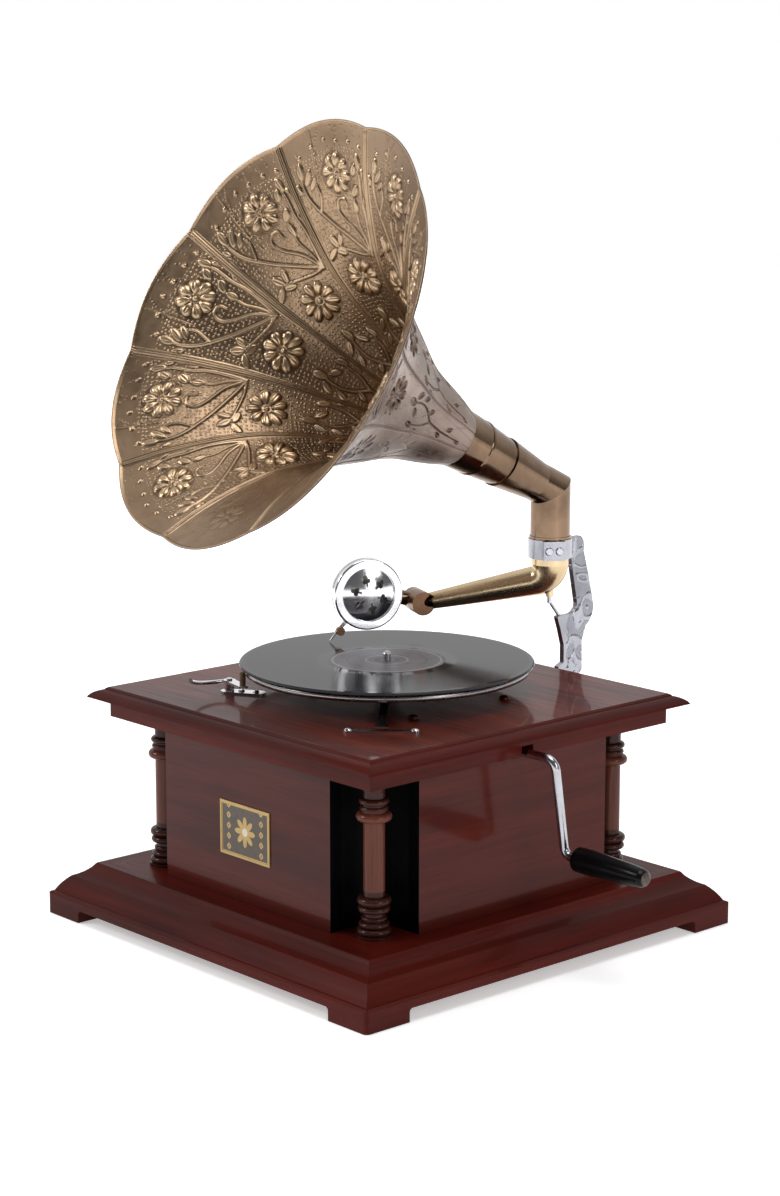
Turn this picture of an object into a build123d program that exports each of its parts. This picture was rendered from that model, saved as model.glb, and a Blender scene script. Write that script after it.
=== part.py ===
from build123d import *
import os
from math import acos, cos, degrees, atan2, hypot, pi, radians, sin, sqrt, tan

# Wind-up table phonograph with an outside horn.
# Frame: millimetres, +Z up, origin on the ground under the turntable spindle, which is
# also the middle of the square case. The front is -Y, the winding crank is on +X, and
# the horn bracket stands behind the case on +Y.

os.makedirs("parts", exist_ok=True)

# ---- Driving dimensions ----

# Case
base_half = 210.0  # half the side of the base moulding on the ground
base_band_top = 17.5
foot_length = 45.0
foot_arch_height = 11.0
foot_hole_x = 180.0  # pilot holes under the four feet, in the front and back mouldings
foot_hole_y = 199.0
foot_hole_radius = 2.0
foot_hole_depth = 14.0
ledge_z = 45.3  # top of the plinth board
ledge_half = 176.5
rebate_z = 33.3
body_half = 157.0  # outer faces of the four panels
panel_half = 107.0  # half the length of a panel between two corner recesses
panel_thickness = 12.0
frieze_z = 176.5
frieze_half = 168.7
frieze_width = 62.0
deck_under_z = 193.3
deck_top_z = 202.3
deck_half = 169.1
deck_edge_half = 183.2
corner_radius = 4.0
mitre_gap = 0.1
column_centre = 135.5

# Turntable
spindle_radius = 3.6  # fits the 7.3 mm hole of a standard record
spindle_waist_radius = 3.3  # relief inside the platter, the felt and the record
spindle_top_z = 236.8
platter_radius = 122.5
platter_under_z = 222.5
felt_z = 225.0
record_z = 226.0
record_top_z = 228.8
record_radius = 126.0
label_radius = 50.0

# Clockwork motor
lower_plate_z = 128.0
bed_plate_z = 187.0
plate_thickness = 3.0
arbor_radius = 5.0
running_fit = 0.05
barrel_x = 52.0
crank_y = 2.0
crank_z = 178.5
great_teeth = 80
inter_teeth = 60
inter_pinion_teeth = 12
spindle_pinion_teeth = 15
train_module = 1.0
speed_module = 0.6
spindle_wheel_teeth = 90
governor_pinion_teeth = 9
winding_module = 1.25
contrate_teeth = 48
winding_pinion_teeth = 12
governor_bearing_deg = -75.0

# Crank
crank_rod_radius = 3.75
crank_bend_x = 200.0
grip_y = 14.7
grip_z = 96.5
grip_start_x = 215.0
grip_end_x = 291.0

# Tone arm and horn
arm_x = 35.0  # the swing axis of the tone arm and of the horn elbow
arm_y = 161.0
collar_low_z = 303.5
collar_top_z = 320.5
collar_radius = 19.3
arm_top_radius = 16.9
arm_slope = 13.4  # degrees below the horizontal
knuckle_z = 257.0
soundbox_z = 269.5
soundbox_radius = 31.7
soundbox_depth = 13.0
needle_tip_z = 229.1
elbow_mitre_z = 363.5
horn_azimuth = -95.2  # heading of the horn axis, from +X
horn_rise = 27.2  # degrees above the horizontal
petal_count = 10
first_seam = 46.1  # degrees, from the level direction on the horn's right
petal_gap = 0.06  # degrees between neighbouring petals
horn_wall = 1.0
horn_mouth = 343.0  # distance from the elbow's mitre to the furthest point of the rim
seam_rim_radius = 182.9
petal_rim_radius = 187.4


def unit(x, y, z=0.0):
    """A direction of length 1."""
    length = sqrt(x * x + y * y + z * z)
    return Vector(x / length, y / length, z / length)


def upright(x, y, heading=0.0):
    """The vertical plane through (x, y) that holds the Z axis and the heading (degrees)."""
    along = Vector(cos(radians(heading)), sin(radians(heading)), 0)
    return Plane(origin=(x, y, 0), x_dir=along, z_dir=along.cross(Vector(0, 0, 1)))


def spur_gear(teeth, module, rotation, thickness_share=0.38, addendum=0.7, dedendum=1.0):
    """Sketch of a gear with straight-sided teeth and generous clock-style backlash."""
    pitch_radius = teeth * module / 2
    tooth_width = thickness_share * pi * module
    root = pitch_radius - dedendum * module
    tip = pitch_radius + addendum * module
    with BuildSketch(mode=Mode.PRIVATE) as outline:
        Circle(root)
        with PolarLocations(0, teeth, start_angle=rotation):
            Polygon(
                (root - 0.4 * module, -0.6 * tooth_width),
                (tip, -0.3 * tooth_width),
                (tip, 0.3 * tooth_width),
                (root - 0.4 * module, 0.6 * tooth_width),
                align=None,
            )
    return outline.sketch


def facing_tooth(bearing):
    """Rotation that points a tooth at the bearing."""
    return bearing


def facing_gap(bearing, teeth):
    """Rotation that points a gap at the bearing."""
    return bearing + 180 / teeth


# ---- Case: base moulding ----

front_section = Plane(origin=(0, 0, 0), x_dir=(0, -1, 0), z_dir=(-1, 0, 0))
reach = base_half + 20

with BuildPart() as base_strip:
    with BuildSketch(front_section):
        with BuildLine():
            Polyline(
                (base_half - 22, 27),
                (base_half - 22, 0),
                (base_half, 0),
                (base_half, base_band_top),
                (base_half - 2.4, 19.2),
                (base_half - 4.2, 19.6),
            )
            ThreePointArc(
                (base_half - 4.2, 19.6), (base_half - 9.5, 27.6), (base_half - 15.5, 33.5)
            )
            ThreePointArc(
                (base_half - 15.5, 33.5), (base_half - 22.5, 37.0), (base_half - 28.5, 42.0)
            )
            Polyline(
                (base_half - 28.5, 42.0),
                (base_half - 30.2, 44.4),
                (base_half - 31.2, ledge_z),
                (ledge_half, ledge_z),
                (ledge_half, rebate_z),
                (ledge_half - 6.5, rebate_z),
                (ledge_half - 6.5, 27),
                (base_half - 22, 27),
            )
        make_face()
    extrude(amount=reach, both=True)
    with BuildSketch():
        Polygon((0, -mitre_gap), (-reach, -reach - mitre_gap), (reach, -reach - mitre_gap),
                align=None)
    extrude(amount=ledge_z, mode=Mode.INTERSECT)
    with BuildSketch():
        RectangleRounded(2 * base_half, 2 * base_half, corner_radius)
    extrude(amount=ledge_z, mode=Mode.INTERSECT)
    with BuildSketch(Plane.XZ):
        RectangleRounded(2 * (base_half - foot_length), 2 * foot_arch_height, 3.0)
    extrude(amount=reach, mode=Mode.SUBTRACT)

with BuildPart() as base_moulding:
    with PolarLocations(0, 4):
        add(base_strip.part)
    with GridLocations(2 * foot_hole_x, 2 * foot_hole_y, 2, 2):
        Cylinder(foot_hole_radius, 2 * foot_hole_depth, mode=Mode.SUBTRACT)
base_moulding.part.label = "base_moulding"
export_step(base_moulding.part, "parts/base_moulding.step")

with BuildPart() as plinth_board:
    with BuildSketch(Plane.XY.offset(rebate_z)):
        Rectangle(2 * ledge_half, 2 * ledge_half)
    extrude(amount=ledge_z - rebate_z)
plinth_board.part.label = "plinth_board"
export_step(plinth_board.part, "parts/plinth_board.step")

# ---- Case: panels, dark corner posts and turned columns ----

crank_slot_half = 6.5
panel_sides = (("front_panel", 0), ("right_panel", 90), ("back_panel", 180), ("left_panel", 270))
for panel_name, turn in panel_sides:
    with BuildPart() as panel:
        with BuildSketch(Plane.XY.offset(ledge_z).rotated((0, 0, turn))):
            with Locations((0, -body_half + panel_thickness / 2)):
                Rectangle(2 * panel_half, panel_thickness)
        extrude(amount=frieze_z - ledge_z)
        if panel_name == "right_panel":
            with Locations((body_half, crank_y, crank_z)):
                Box(60, 2 * crank_slot_half, 2 * crank_slot_half, mode=Mode.SUBTRACT)
    panel.part.label = panel_name
    export_step(panel.part, f"parts/{panel_name}.step")

post_inner = panel_half - 12.0
with BuildPart() as corner_posts:
    with BuildSketch(Plane.XY.offset(ledge_z)):
        with PolarLocations(0, 4):
            Polygon(
                (post_inner, -post_inner),
                (body_half - panel_thickness, -post_inner),
                (body_half - panel_thickness, -panel_half),
                (panel_half, -panel_half),
                (panel_half, -body_half + panel_thickness),
                (post_inner, -body_half + panel_thickness),
                align=None,
            )
    extrude(amount=frieze_z - ledge_z)
corner_posts.part.label = "corner_posts"
export_step(corner_posts.part, "parts/corner_posts.step")

# Turned beads of a column, from the bottom: lowest z, highest z, radius of the bead,
# and radius of the neck above it.
column_beads = (
    (47.6, 52.6, 14.0, 9.6),
    (53.4, 57.8, 12.5, 9.0),
    (58.8, 62.6, 10.6, 8.6),
    (66.2, 71.2, 13.0, 9.8),
    (71.8, 78.4, 13.8, 8.7),
    (141.4, 148.2, 14.5, 9.9),
    (149.4, 153.4, 11.4, 9.6),
    (154.6, 159.6, 12.2, 8.8),
)
with BuildPart() as one_column:
    with BuildSketch(upright(column_centre, -column_centre)):
        with BuildLine():
            Polyline((0, ledge_z), (15, ledge_z), (15, 47.4), (10.2, column_beads[0][0]))
            neck = 10.2
            place = column_beads[0][0]
            for bead_low, bead_high, bead_radius, next_neck in column_beads:
                if bead_low > place:
                    Line((neck, place), (neck, bead_low))
                ThreePointArc(
                    (neck, bead_low),
                    (bead_radius, (bead_low + bead_high) / 2),
                    (next_neck, bead_high),
                )
                neck = next_neck
                place = bead_high
            Line((neck, place), (neck, 163.5))
            ThreePointArc((neck, 163.5), (10.4, 170.5), (14.0, 174.2))
            Polyline((14.0, 174.2), (14.0, frieze_z), (0, frieze_z), (0, ledge_z))
        make_face()
    revolve(axis=Axis((column_centre, -column_centre, 0), (0, 0, 1)))

with BuildPart() as columns:
    with PolarLocations(0, 4):
        add(one_column.part)
columns.part.label = "columns"
export_step(columns.part, "parts/columns.step")

# ---- Case: frieze, deck and its edge moulding ----

bracket_foot_low = 177.0
bracket_screw_spread = 14.0
bracket_screw_z = 185.0
with BuildPart() as frieze_strip:
    with BuildSketch(Plane.XY.offset(frieze_z)):
        Polygon(
            (-frieze_half + mitre_gap, -frieze_half),
            (frieze_half - mitre_gap, -frieze_half),
            (frieze_half - frieze_width - mitre_gap, -frieze_half + frieze_width),
            (-frieze_half + frieze_width + mitre_gap, -frieze_half + frieze_width),
            align=None,
        )
    extrude(amount=deck_under_z - frieze_z)

with BuildPart() as frieze_rails:
    with PolarLocations(0, 4):
        add(frieze_strip.part)
    with Locations((frieze_half - frieze_width / 2, crank_y, crank_z)):
        Box(frieze_width + 4, 2 * crank_slot_half, 2 * crank_slot_half, mode=Mode.SUBTRACT)
    with Locations(Plane.XZ.offset(-frieze_half)):
        with Locations((arm_x - bracket_screw_spread, bracket_screw_z),
                       (arm_x + bracket_screw_spread, bracket_screw_z)):
            Hole(radius=1.5, depth=20)
frieze_rails.part.label = "frieze_rails"
export_step(frieze_rails.part, "parts/frieze_rails.step")

speed_pivot = Vector(28.9, -27.6, 0)
speed_shaft_radius = 3.0
bolt_places = ((-36, -52), (-36, 52), (90, -52), (90, 52))
bolt_radius = 2.4
with BuildPart() as deck_board:
    with BuildSketch(Plane.XY.offset(deck_under_z)):
        Rectangle(2 * deck_half, 2 * deck_half)
        Circle(12, mode=Mode.SUBTRACT)
        with Locations((speed_pivot.X, speed_pivot.Y)):
            Circle(speed_shaft_radius + 0.6, mode=Mode.SUBTRACT)
        with Locations(*bolt_places):
            Circle(bolt_radius + 0.1, mode=Mode.SUBTRACT)
    extrude(amount=deck_top_z - deck_under_z)
deck_board.part.label = "deck_board"
export_step(deck_board.part, "parts/deck_board.step")

bracket_half_width = 2.5
bracket_plate_x = arm_x - 1.5
with BuildPart() as deck_edge_strip:
    with BuildSketch(front_section):
        with BuildLine():
            Polyline(
                (deck_half, deck_top_z),
                (deck_half, deck_under_z),
                (deck_edge_half, deck_under_z),
                (deck_edge_half - 1.0, 195.0),
            )
            ThreePointArc(
                (deck_edge_half - 1.0, 195.0),
                (deck_edge_half - 5.3, 198.3),
                (deck_edge_half - 10.9, 200.2),
            )
            Polyline(
                (deck_edge_half - 10.9, 200.2),
                (deck_edge_half - 11.7, 201.2),
                (deck_edge_half - 13.6, deck_top_z),
                (deck_half, deck_top_z),
            )
        make_face()
    extrude(amount=reach, both=True)
    with BuildSketch(Plane.XY.offset(deck_under_z)):
        Polygon((0, -mitre_gap), (-reach, -reach - mitre_gap), (reach, -reach - mitre_gap),
                align=None)
    extrude(amount=deck_top_z - deck_under_z, mode=Mode.INTERSECT)

notch_y = 172.0
with BuildPart() as deck_moulding:
    with PolarLocations(0, 4):
        add(deck_edge_strip.part)
    with Locations((bracket_plate_x, notch_y + 10, (deck_under_z + deck_top_z) / 2)):
        Box(2 * bracket_half_width + 1.2, 20, 20, mode=Mode.SUBTRACT)
deck_moulding.part.label = "deck_moulding"
export_step(deck_moulding.part, "parts/deck_moulding.step")

plaque_width = 64.0
plaque_height = 46.0
plaque_z = 106.0
with BuildPart() as plaque:
    with BuildSketch(Plane.XZ.offset(body_half)):
        with Locations((0, plaque_z)):
            Rectangle(plaque_width, plaque_height)
    extrude(amount=0.6)
    with BuildSketch(Plane.XZ.offset(body_half + 0.6)):
        with Locations((0, plaque_z)):
            Rectangle(plaque_width, plaque_height)
            Rectangle(plaque_width - 4, plaque_height - 4, mode=Mode.SUBTRACT)
    extrude(amount=0.4)
plaque.part.label = "plaque"
export_step(plaque.part, "parts/plaque.step")

# ---- Clockwork motor: where its arbors stand ----

great_radius = great_teeth * train_module / 2
inter_radius = inter_teeth * train_module / 2
inter_pinion_radius = inter_pinion_teeth * train_module / 2
spindle_pinion_radius = spindle_pinion_teeth * train_module / 2
spindle_wheel_radius = spindle_wheel_teeth * speed_module / 2
governor_pinion_radius = governor_pinion_teeth * speed_module / 2
contrate_radius = contrate_teeth * winding_module / 2
winding_pinion_radius = winding_pinion_teeth * winding_module / 2

barrel_place = Vector(barrel_x, crank_y, 0)
spindle_to_barrel = barrel_place.length
spindle_to_inter = inter_radius + spindle_pinion_radius
barrel_to_inter = great_radius + inter_pinion_radius
inter_angle = acos(
    (spindle_to_inter**2 + spindle_to_barrel**2 - barrel_to_inter**2)
    / (2 * spindle_to_inter * spindle_to_barrel)
)
inter_bearing = degrees(atan2(crank_y, barrel_x) + inter_angle)
inter_place = Vector(
    spindle_to_inter * cos(radians(inter_bearing)),
    spindle_to_inter * sin(radians(inter_bearing)),
    0,
)
barrel_to_inter_bearing = degrees(
    atan2(inter_place.Y - barrel_place.Y, inter_place.X - barrel_place.X)
)
governor_distance = spindle_wheel_radius + governor_pinion_radius
governor_place = Vector(
    governor_distance * cos(radians(governor_bearing_deg)),
    governor_distance * sin(radians(governor_bearing_deg)),
    0,
)
governor_arbor_radius = 1.5
inter_arbor_radius = 3.0
plate_top_z = lower_plate_z + plate_thickness
arbor_low_z = lower_plate_z + 0.4
arbor_high_z = bed_plate_z + plate_thickness - 0.4

plate_centre = (27, 0)
plate_length = 145.0
plate_width = 124.0
hanger_low_z = 173.8
winding_shaft_radius = 4.0
arbor_bores = (
    (barrel_place, arbor_radius),
    (inter_place, inter_arbor_radius),
    (governor_place, governor_arbor_radius),
)
with BuildPart() as motor_bed_plate:
    with BuildSketch(Plane.XY.offset(bed_plate_z)):
        with Locations(plate_centre):
            RectangleRounded(plate_length, plate_width, 8)
        Circle(arbor_radius + running_fit, mode=Mode.SUBTRACT)
        for place, radius in arbor_bores:
            with Locations((place.X, place.Y)):
                Circle(radius + running_fit, mode=Mode.SUBTRACT)
        with Locations((speed_pivot.X, speed_pivot.Y)):
            Circle(speed_shaft_radius + running_fit, mode=Mode.SUBTRACT)
        with Locations(*bolt_places):
            Circle(bolt_radius + 0.1, mode=Mode.SUBTRACT)
    extrude(amount=plate_thickness)
    with BuildSketch(Plane.XY.offset(hanger_low_z)):
        with Locations((69, crank_y), (96, crank_y)):
            Rectangle(6, 18)
    extrude(amount=bed_plate_z - hanger_low_z)
    with Locations(Plane.YZ.offset(60)):
        with Locations((crank_y, crank_z)):
            Cylinder(
                winding_shaft_radius + running_fit,
                45,
                align=(Align.CENTER, Align.CENTER, Align.MIN),
                mode=Mode.SUBTRACT,
            )
motor_bed_plate.part.label = "motor_bed_plate"
export_step(motor_bed_plate.part, "parts/motor_bed_plate.step")

thrust_low_z = 121.0
with BuildPart() as motor_lower_plate:
    with BuildSketch(Plane.XY.offset(lower_plate_z)):
        with Locations(plate_centre):
            RectangleRounded(plate_length, plate_width, 8)
        for place, radius in arbor_bores:
            with Locations((place.X, place.Y)):
                Circle(radius + running_fit, mode=Mode.SUBTRACT)
        with Locations(*bolt_places):
            Circle(bolt_radius + 0.1, mode=Mode.SUBTRACT)
    extrude(amount=plate_thickness)
    with BuildSketch(Plane.XY.offset(thrust_low_z)):
        Circle(10)
    extrude(amount=lower_plate_z - thrust_low_z)
    with BuildSketch(Plane.XY.offset(thrust_low_z + 2.5)):
        Circle(arbor_radius + running_fit)
    extrude(amount=20, mode=Mode.SUBTRACT)
motor_lower_plate.part.label = "motor_lower_plate"
export_step(motor_lower_plate.part, "parts/motor_lower_plate.step")

with BuildPart() as motor_pillars:
    with BuildSketch(Plane.XY.offset(plate_top_z)):
        with Locations(*bolt_places):
            Circle(5)
            Circle(bolt_radius + 0.1, mode=Mode.SUBTRACT)
    extrude(amount=bed_plate_z - plate_top_z)
motor_pillars.part.label = "motor_pillars"
export_step(motor_pillars.part, "parts/motor_pillars.step")

with BuildPart() as motor_grommets:
    with BuildSketch(Plane.XY.offset(bed_plate_z + plate_thickness)):
        with Locations(*bolt_places):
            Circle(8)
            Circle(bolt_radius + 0.1, mode=Mode.SUBTRACT)
    extrude(amount=deck_under_z - bed_plate_z - plate_thickness)
motor_grommets.part.label = "motor_grommets"
export_step(motor_grommets.part, "parts/motor_grommets.step")

with BuildPart() as motor_bolts:
    for bolt_x, bolt_y in bolt_places:
        with BuildSketch(upright(bolt_x, bolt_y)):
            with BuildLine():
                Polyline(
                    (0, 121), (4.5, 121), (4.5, lower_plate_z), (bolt_radius, lower_plate_z),
                    (bolt_radius, deck_top_z), (5.0, deck_top_z), (4.4, 204.2),
                )
                ThreePointArc((4.4, 204.2), (2.8, 205.2), (0.8, 205.6))
                Polyline((0.8, 205.6), (0, 205.6), (0, 121))
            make_face()
        revolve(axis=Axis((bolt_x, bolt_y, 0), (0, 0, 1)))
motor_bolts.part.label = "motor_bolts"
export_step(motor_bolts.part, "parts/motor_bolts.step")

# ---- Clockwork motor: mainspring barrel and its winding wheel ----

great_low_z = 137.0
great_high_z = 140.5
drum_top_z = 158.0
drum_radius = 37.0
drum_wall = 1.5
with BuildPart() as spring_barrel:
    with BuildSketch(Plane(origin=(barrel_place.X, barrel_place.Y, great_low_z))):
        add(spur_gear(great_teeth, train_module, facing_gap(barrel_to_inter_bearing, great_teeth)))
        Circle(arbor_radius + running_fit, mode=Mode.SUBTRACT)
    extrude(amount=great_high_z - great_low_z)
    with BuildSketch(Plane(origin=(barrel_place.X, barrel_place.Y, great_high_z))):
        Circle(drum_radius)
        Circle(drum_radius - drum_wall, mode=Mode.SUBTRACT)
    extrude(amount=drum_top_z - great_high_z)
spring_barrel.part.label = "spring_barrel"
export_step(spring_barrel.part, "parts/spring_barrel.step")

with BuildPart() as barrel_lid:
    with BuildSketch(Plane(origin=(barrel_place.X, barrel_place.Y, drum_top_z))):
        Circle(drum_radius)
        Circle(arbor_radius + running_fit, mode=Mode.SUBTRACT)
    extrude(amount=1.5)
barrel_lid.part.label = "barrel_lid"
export_step(barrel_lid.part, "parts/barrel_lid.step")

# The mainspring is a flat strip, wound as half turns whose radius grows.
spring_step = 1.6
spring_turns = 7
spring_start = 11.5
with BuildPart() as mainspring:
    with BuildSketch(Plane(origin=(barrel_place.X, barrel_place.Y, great_high_z + 1.0))):
        with BuildLine():
            side = 1
            low_x = -spring_start
            for half_turn in range(2 * spring_turns):
                radius = spring_start + (half_turn + 0.5) * spring_step
                high_x = low_x + 2 * radius * side
                ThreePointArc(
                    (low_x, 0), ((low_x + high_x) / 2, radius * side), (high_x, 0)
                )
                low_x = high_x
                side = -side
        trace(line_width=0.7)
    extrude(amount=15.5)
mainspring.part.label = "mainspring"
export_step(mainspring.part, "parts/mainspring.step")

with BuildPart() as barrel_arbor:
    with BuildSketch(Plane(origin=(barrel_place.X, barrel_place.Y, arbor_low_z))):
        Circle(arbor_radius)
    extrude(amount=arbor_high_z - arbor_low_z)
    with BuildSketch(Plane(origin=(barrel_place.X, barrel_place.Y, great_high_z + 0.5))):
        Circle(8)
    extrude(amount=drum_top_z - great_high_z - 1.0)
barrel_arbor.part.label = "barrel_arbor"
export_step(barrel_arbor.part, "parts/barrel_arbor.step")

# The winding wheel is a contrate wheel: its teeth stand up and mesh with the crank's pinion.
contrate_pitch_z = crank_z - winding_pinion_radius
contrate_root_z = contrate_pitch_z - winding_module
contrate_tip_z = contrate_pitch_z + 0.7 * winding_module
contrate_tooth = 0.38 * pi * winding_module
with BuildPart() as contrate_bar:
    with BuildSketch(Plane.YZ.offset(contrate_radius - 2)):
        Polygon(
            (-0.6 * contrate_tooth, contrate_root_z - 0.3),
            (0.6 * contrate_tooth, contrate_root_z - 0.3),
            (0.3 * contrate_tooth, contrate_tip_z),
            (-0.3 * contrate_tooth, contrate_tip_z),
            align=None,
        )
    extrude(amount=4.0)

with BuildPart() as winding_wheel:
    with BuildSketch(Plane(origin=(barrel_place.X, barrel_place.Y, 165))):
        Circle(contrate_radius + 2)
        Circle(arbor_radius, mode=Mode.SUBTRACT)
    extrude(amount=contrate_root_z - 165)
    with Locations((barrel_place.X, barrel_place.Y, 0)):
        with PolarLocations(0, contrate_teeth, start_angle=180 / contrate_teeth):
            add(contrate_bar.part)
winding_wheel.part.label = "winding_wheel"
export_step(winding_wheel.part, "parts/winding_wheel.step")

sleeve_radius = 5.6
shaft_start_x = 66.5
sleeve_start_x = 118.0
sleeve_end_x = 150.0
socket_depth = 20.0
crank_axis_plane = Plane(origin=(0, crank_y, crank_z), x_dir=(0, 1, 0), z_dir=(1, 0, 0))
with BuildPart() as winding_shaft:
    with BuildSketch(crank_axis_plane.offset(shaft_start_x)):
        Circle(winding_shaft_radius)
    extrude(amount=sleeve_start_x - shaft_start_x)
    with BuildSketch(crank_axis_plane.offset(barrel_place.X + contrate_radius - 3)):
        add(spur_gear(winding_pinion_teeth, winding_module, facing_tooth(-90)))
    extrude(amount=6)
    with BuildSketch(crank_axis_plane.offset(sleeve_start_x)):
        Circle(sleeve_radius)
    extrude(amount=sleeve_end_x - sleeve_start_x)
    with BuildSketch(crank_axis_plane.offset(sleeve_end_x - socket_depth)):
        Circle(crank_rod_radius)
    extrude(amount=socket_depth, mode=Mode.SUBTRACT)
winding_shaft.part.label = "winding_shaft"
export_step(winding_shaft.part, "parts/winding_shaft.step")

# ---- Clockwork motor: train, spindle and governor ----

inter_wheel_z = 132.5
with BuildPart() as intermediate_arbor:
    with BuildSketch(Plane(origin=(inter_place.X, inter_place.Y, arbor_low_z))):
        Circle(inter_arbor_radius)
    extrude(amount=arbor_high_z - arbor_low_z)
    with BuildSketch(Plane(origin=(inter_place.X, inter_place.Y, inter_wheel_z + 2.5))):
        add(
            spur_gear(
                inter_pinion_teeth, train_module, facing_tooth(barrel_to_inter_bearing + 180)
            )
        )
    extrude(amount=6.5)
intermediate_arbor.part.label = "intermediate_arbor"
export_step(intermediate_arbor.part, "parts/intermediate_arbor.step")

with BuildPart() as intermediate_wheel:
    with BuildSketch(Plane(origin=(inter_place.X, inter_place.Y, inter_wheel_z))):
        add(spur_gear(inter_teeth, train_module, facing_gap(inter_bearing + 180, inter_teeth)))
        Circle(inter_arbor_radius, mode=Mode.SUBTRACT)
        with PolarLocations(17, 5):
            Circle(6, mode=Mode.SUBTRACT)
    extrude(amount=2.5)
intermediate_wheel.part.label = "intermediate_wheel"
export_step(intermediate_wheel.part, "parts/intermediate_wheel.step")

spindle_low_z = 124.0
spindle_shoulder_z = 224.0
spindle_waist_top_z = record_top_z + 0.2
with BuildPart() as spindle:
    with BuildSketch(upright(0, 0)):
        with BuildLine():
            Polyline(
                (0, spindle_low_z), (3.4, spindle_low_z), (arbor_radius, 125.6),
                (arbor_radius, spindle_shoulder_z),
                (spindle_waist_radius, spindle_shoulder_z + 1.0),
                (spindle_waist_radius, spindle_waist_top_z),
                (spindle_radius, spindle_waist_top_z),
                (spindle_radius, spindle_top_z - 2.4),
            )
            ThreePointArc(
                (spindle_radius, spindle_top_z - 2.4), (2.4, spindle_top_z - 0.7),
                (0.8, spindle_top_z)
            )
            Polyline((0.8, spindle_top_z), (0, spindle_top_z), (0, spindle_low_z))
        make_face()
    revolve(axis=Axis.Z)
    with BuildSketch(Plane.XY.offset(131.8)):
        add(spur_gear(spindle_pinion_teeth, train_module, facing_tooth(inter_bearing)))
    extrude(amount=4.4)
spindle.part.label = "spindle"
export_step(spindle.part, "parts/spindle.step")

spindle_wheel_z = 176.0
with BuildPart() as spindle_wheel:
    with BuildSketch(Plane.XY.offset(spindle_wheel_z)):
        add(
            spur_gear(
                spindle_wheel_teeth, speed_module,
                facing_gap(governor_bearing_deg, spindle_wheel_teeth),
            )
        )
        Circle(arbor_radius, mode=Mode.SUBTRACT)
        with PolarLocations(16, 5):
            Circle(5.5, mode=Mode.SUBTRACT)
    extrude(amount=2.0)
    with BuildSketch(Plane.XY.offset(spindle_wheel_z + 2)):
        Circle(9)
        Circle(arbor_radius, mode=Mode.SUBTRACT)
    extrude(amount=4.0)
spindle_wheel.part.label = "spindle_wheel"
export_step(spindle_wheel.part, "parts/spindle_wheel.step")

with BuildPart() as governor_arbor:
    with BuildSketch(Plane(origin=(governor_place.X, governor_place.Y, arbor_low_z))):
        Circle(governor_arbor_radius)
    extrude(amount=arbor_high_z - arbor_low_z)
    with BuildSketch(Plane(origin=(governor_place.X, governor_place.Y, spindle_wheel_z - 0.5))):
        add(
            spur_gear(
                governor_pinion_teeth, speed_module, facing_tooth(governor_bearing_deg + 180)
            )
        )
    extrude(amount=3.0)
governor_arbor.part.label = "governor_arbor"
export_step(governor_arbor.part, "parts/governor_arbor.step")

# Fixed collar below, and above it the sliding collar with its friction disc.
collar_outer = 4.5
disc_radius = 12.0
disc_z = 168.0
with BuildPart() as governor_collars:
    for start_z, height, radius in ((138, 4, collar_outer), (164, 4, collar_outer),
                                    (disc_z, 1.6, disc_radius)):
        with BuildSketch(Plane(origin=(governor_place.X, governor_place.Y, start_z))):
            Circle(radius)
            Circle(governor_arbor_radius, mode=Mode.SUBTRACT)
        extrude(amount=height)
governor_collars.part.label = "governor_collars"
export_step(governor_collars.part, "parts/governor_collars.step")

spring_low_z = 139.0
spring_high_z = 167.0
spring_bow = 8.0
governor_turns = (90, 210, 330)
with BuildPart() as governor_springs:
    for heading in governor_turns:
        with BuildSketch(upright(governor_place.X, governor_place.Y, heading)):
            with BuildLine():
                ThreePointArc(
                    (collar_outer, spring_low_z),
                    (spring_bow, (spring_low_z + spring_high_z) / 2),
                    (collar_outer, spring_high_z),
                )
                ThreePointArc(
                    (collar_outer + 0.4, spring_low_z),
                    (spring_bow + 0.4, (spring_low_z + spring_high_z) / 2),
                    (collar_outer + 0.4, spring_high_z),
                )
                Line((collar_outer, spring_low_z), (collar_outer + 0.4, spring_low_z))
                Line((collar_outer, spring_high_z), (collar_outer + 0.4, spring_high_z))
            make_face()
        extrude(amount=1.8, both=True)
governor_springs.part.label = "governor_springs"
export_step(governor_springs.part, "parts/governor_springs.step")

weight_z = (spring_low_z + spring_high_z) / 2
with BuildPart() as governor_weights:
    for heading in governor_turns:
        with BuildSketch(upright(governor_place.X, governor_place.Y, heading)):
            with Locations((spring_bow + 2.45, weight_z)):
                Rectangle(4.0, 8.0)
        extrude(amount=3.5, both=True)
governor_weights.part.label = "governor_weights"
export_step(governor_weights.part, "parts/governor_weights.step")

# ---- Turntable, felt and record ----

with BuildPart() as platter:
    with BuildSketch(upright(0, 0)):
        with BuildLine():
            Polyline(
                (arbor_radius, felt_z - 1.6), (arbor_radius, 212), (11, 212), (14, 219),
                (18, platter_under_z), (platter_radius - 5.5, platter_under_z),
                (platter_radius - 5.5, 220.6),
            )
            ThreePointArc(
                (platter_radius - 5.5, 220.6), (platter_radius - 3, 219.5),
                (platter_radius - 0.8, 220.3)
            )
            ThreePointArc(
                (platter_radius - 0.8, 220.3), (platter_radius, 222.6),
                (platter_radius - 0.9, 224.9)
            )
            ThreePointArc(
                (platter_radius - 0.9, 224.9), (platter_radius - 2.2, 225.7),
                (platter_radius - 3.6, felt_z)
            )
            Polyline(
                (platter_radius - 3.6, felt_z), (9, felt_z), (9, felt_z - 1.6),
                (arbor_radius, felt_z - 1.6),
            )
        make_face()
    revolve(axis=Axis.Z)
platter.part.label = "platter"
export_step(platter.part, "parts/platter.step")

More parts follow.
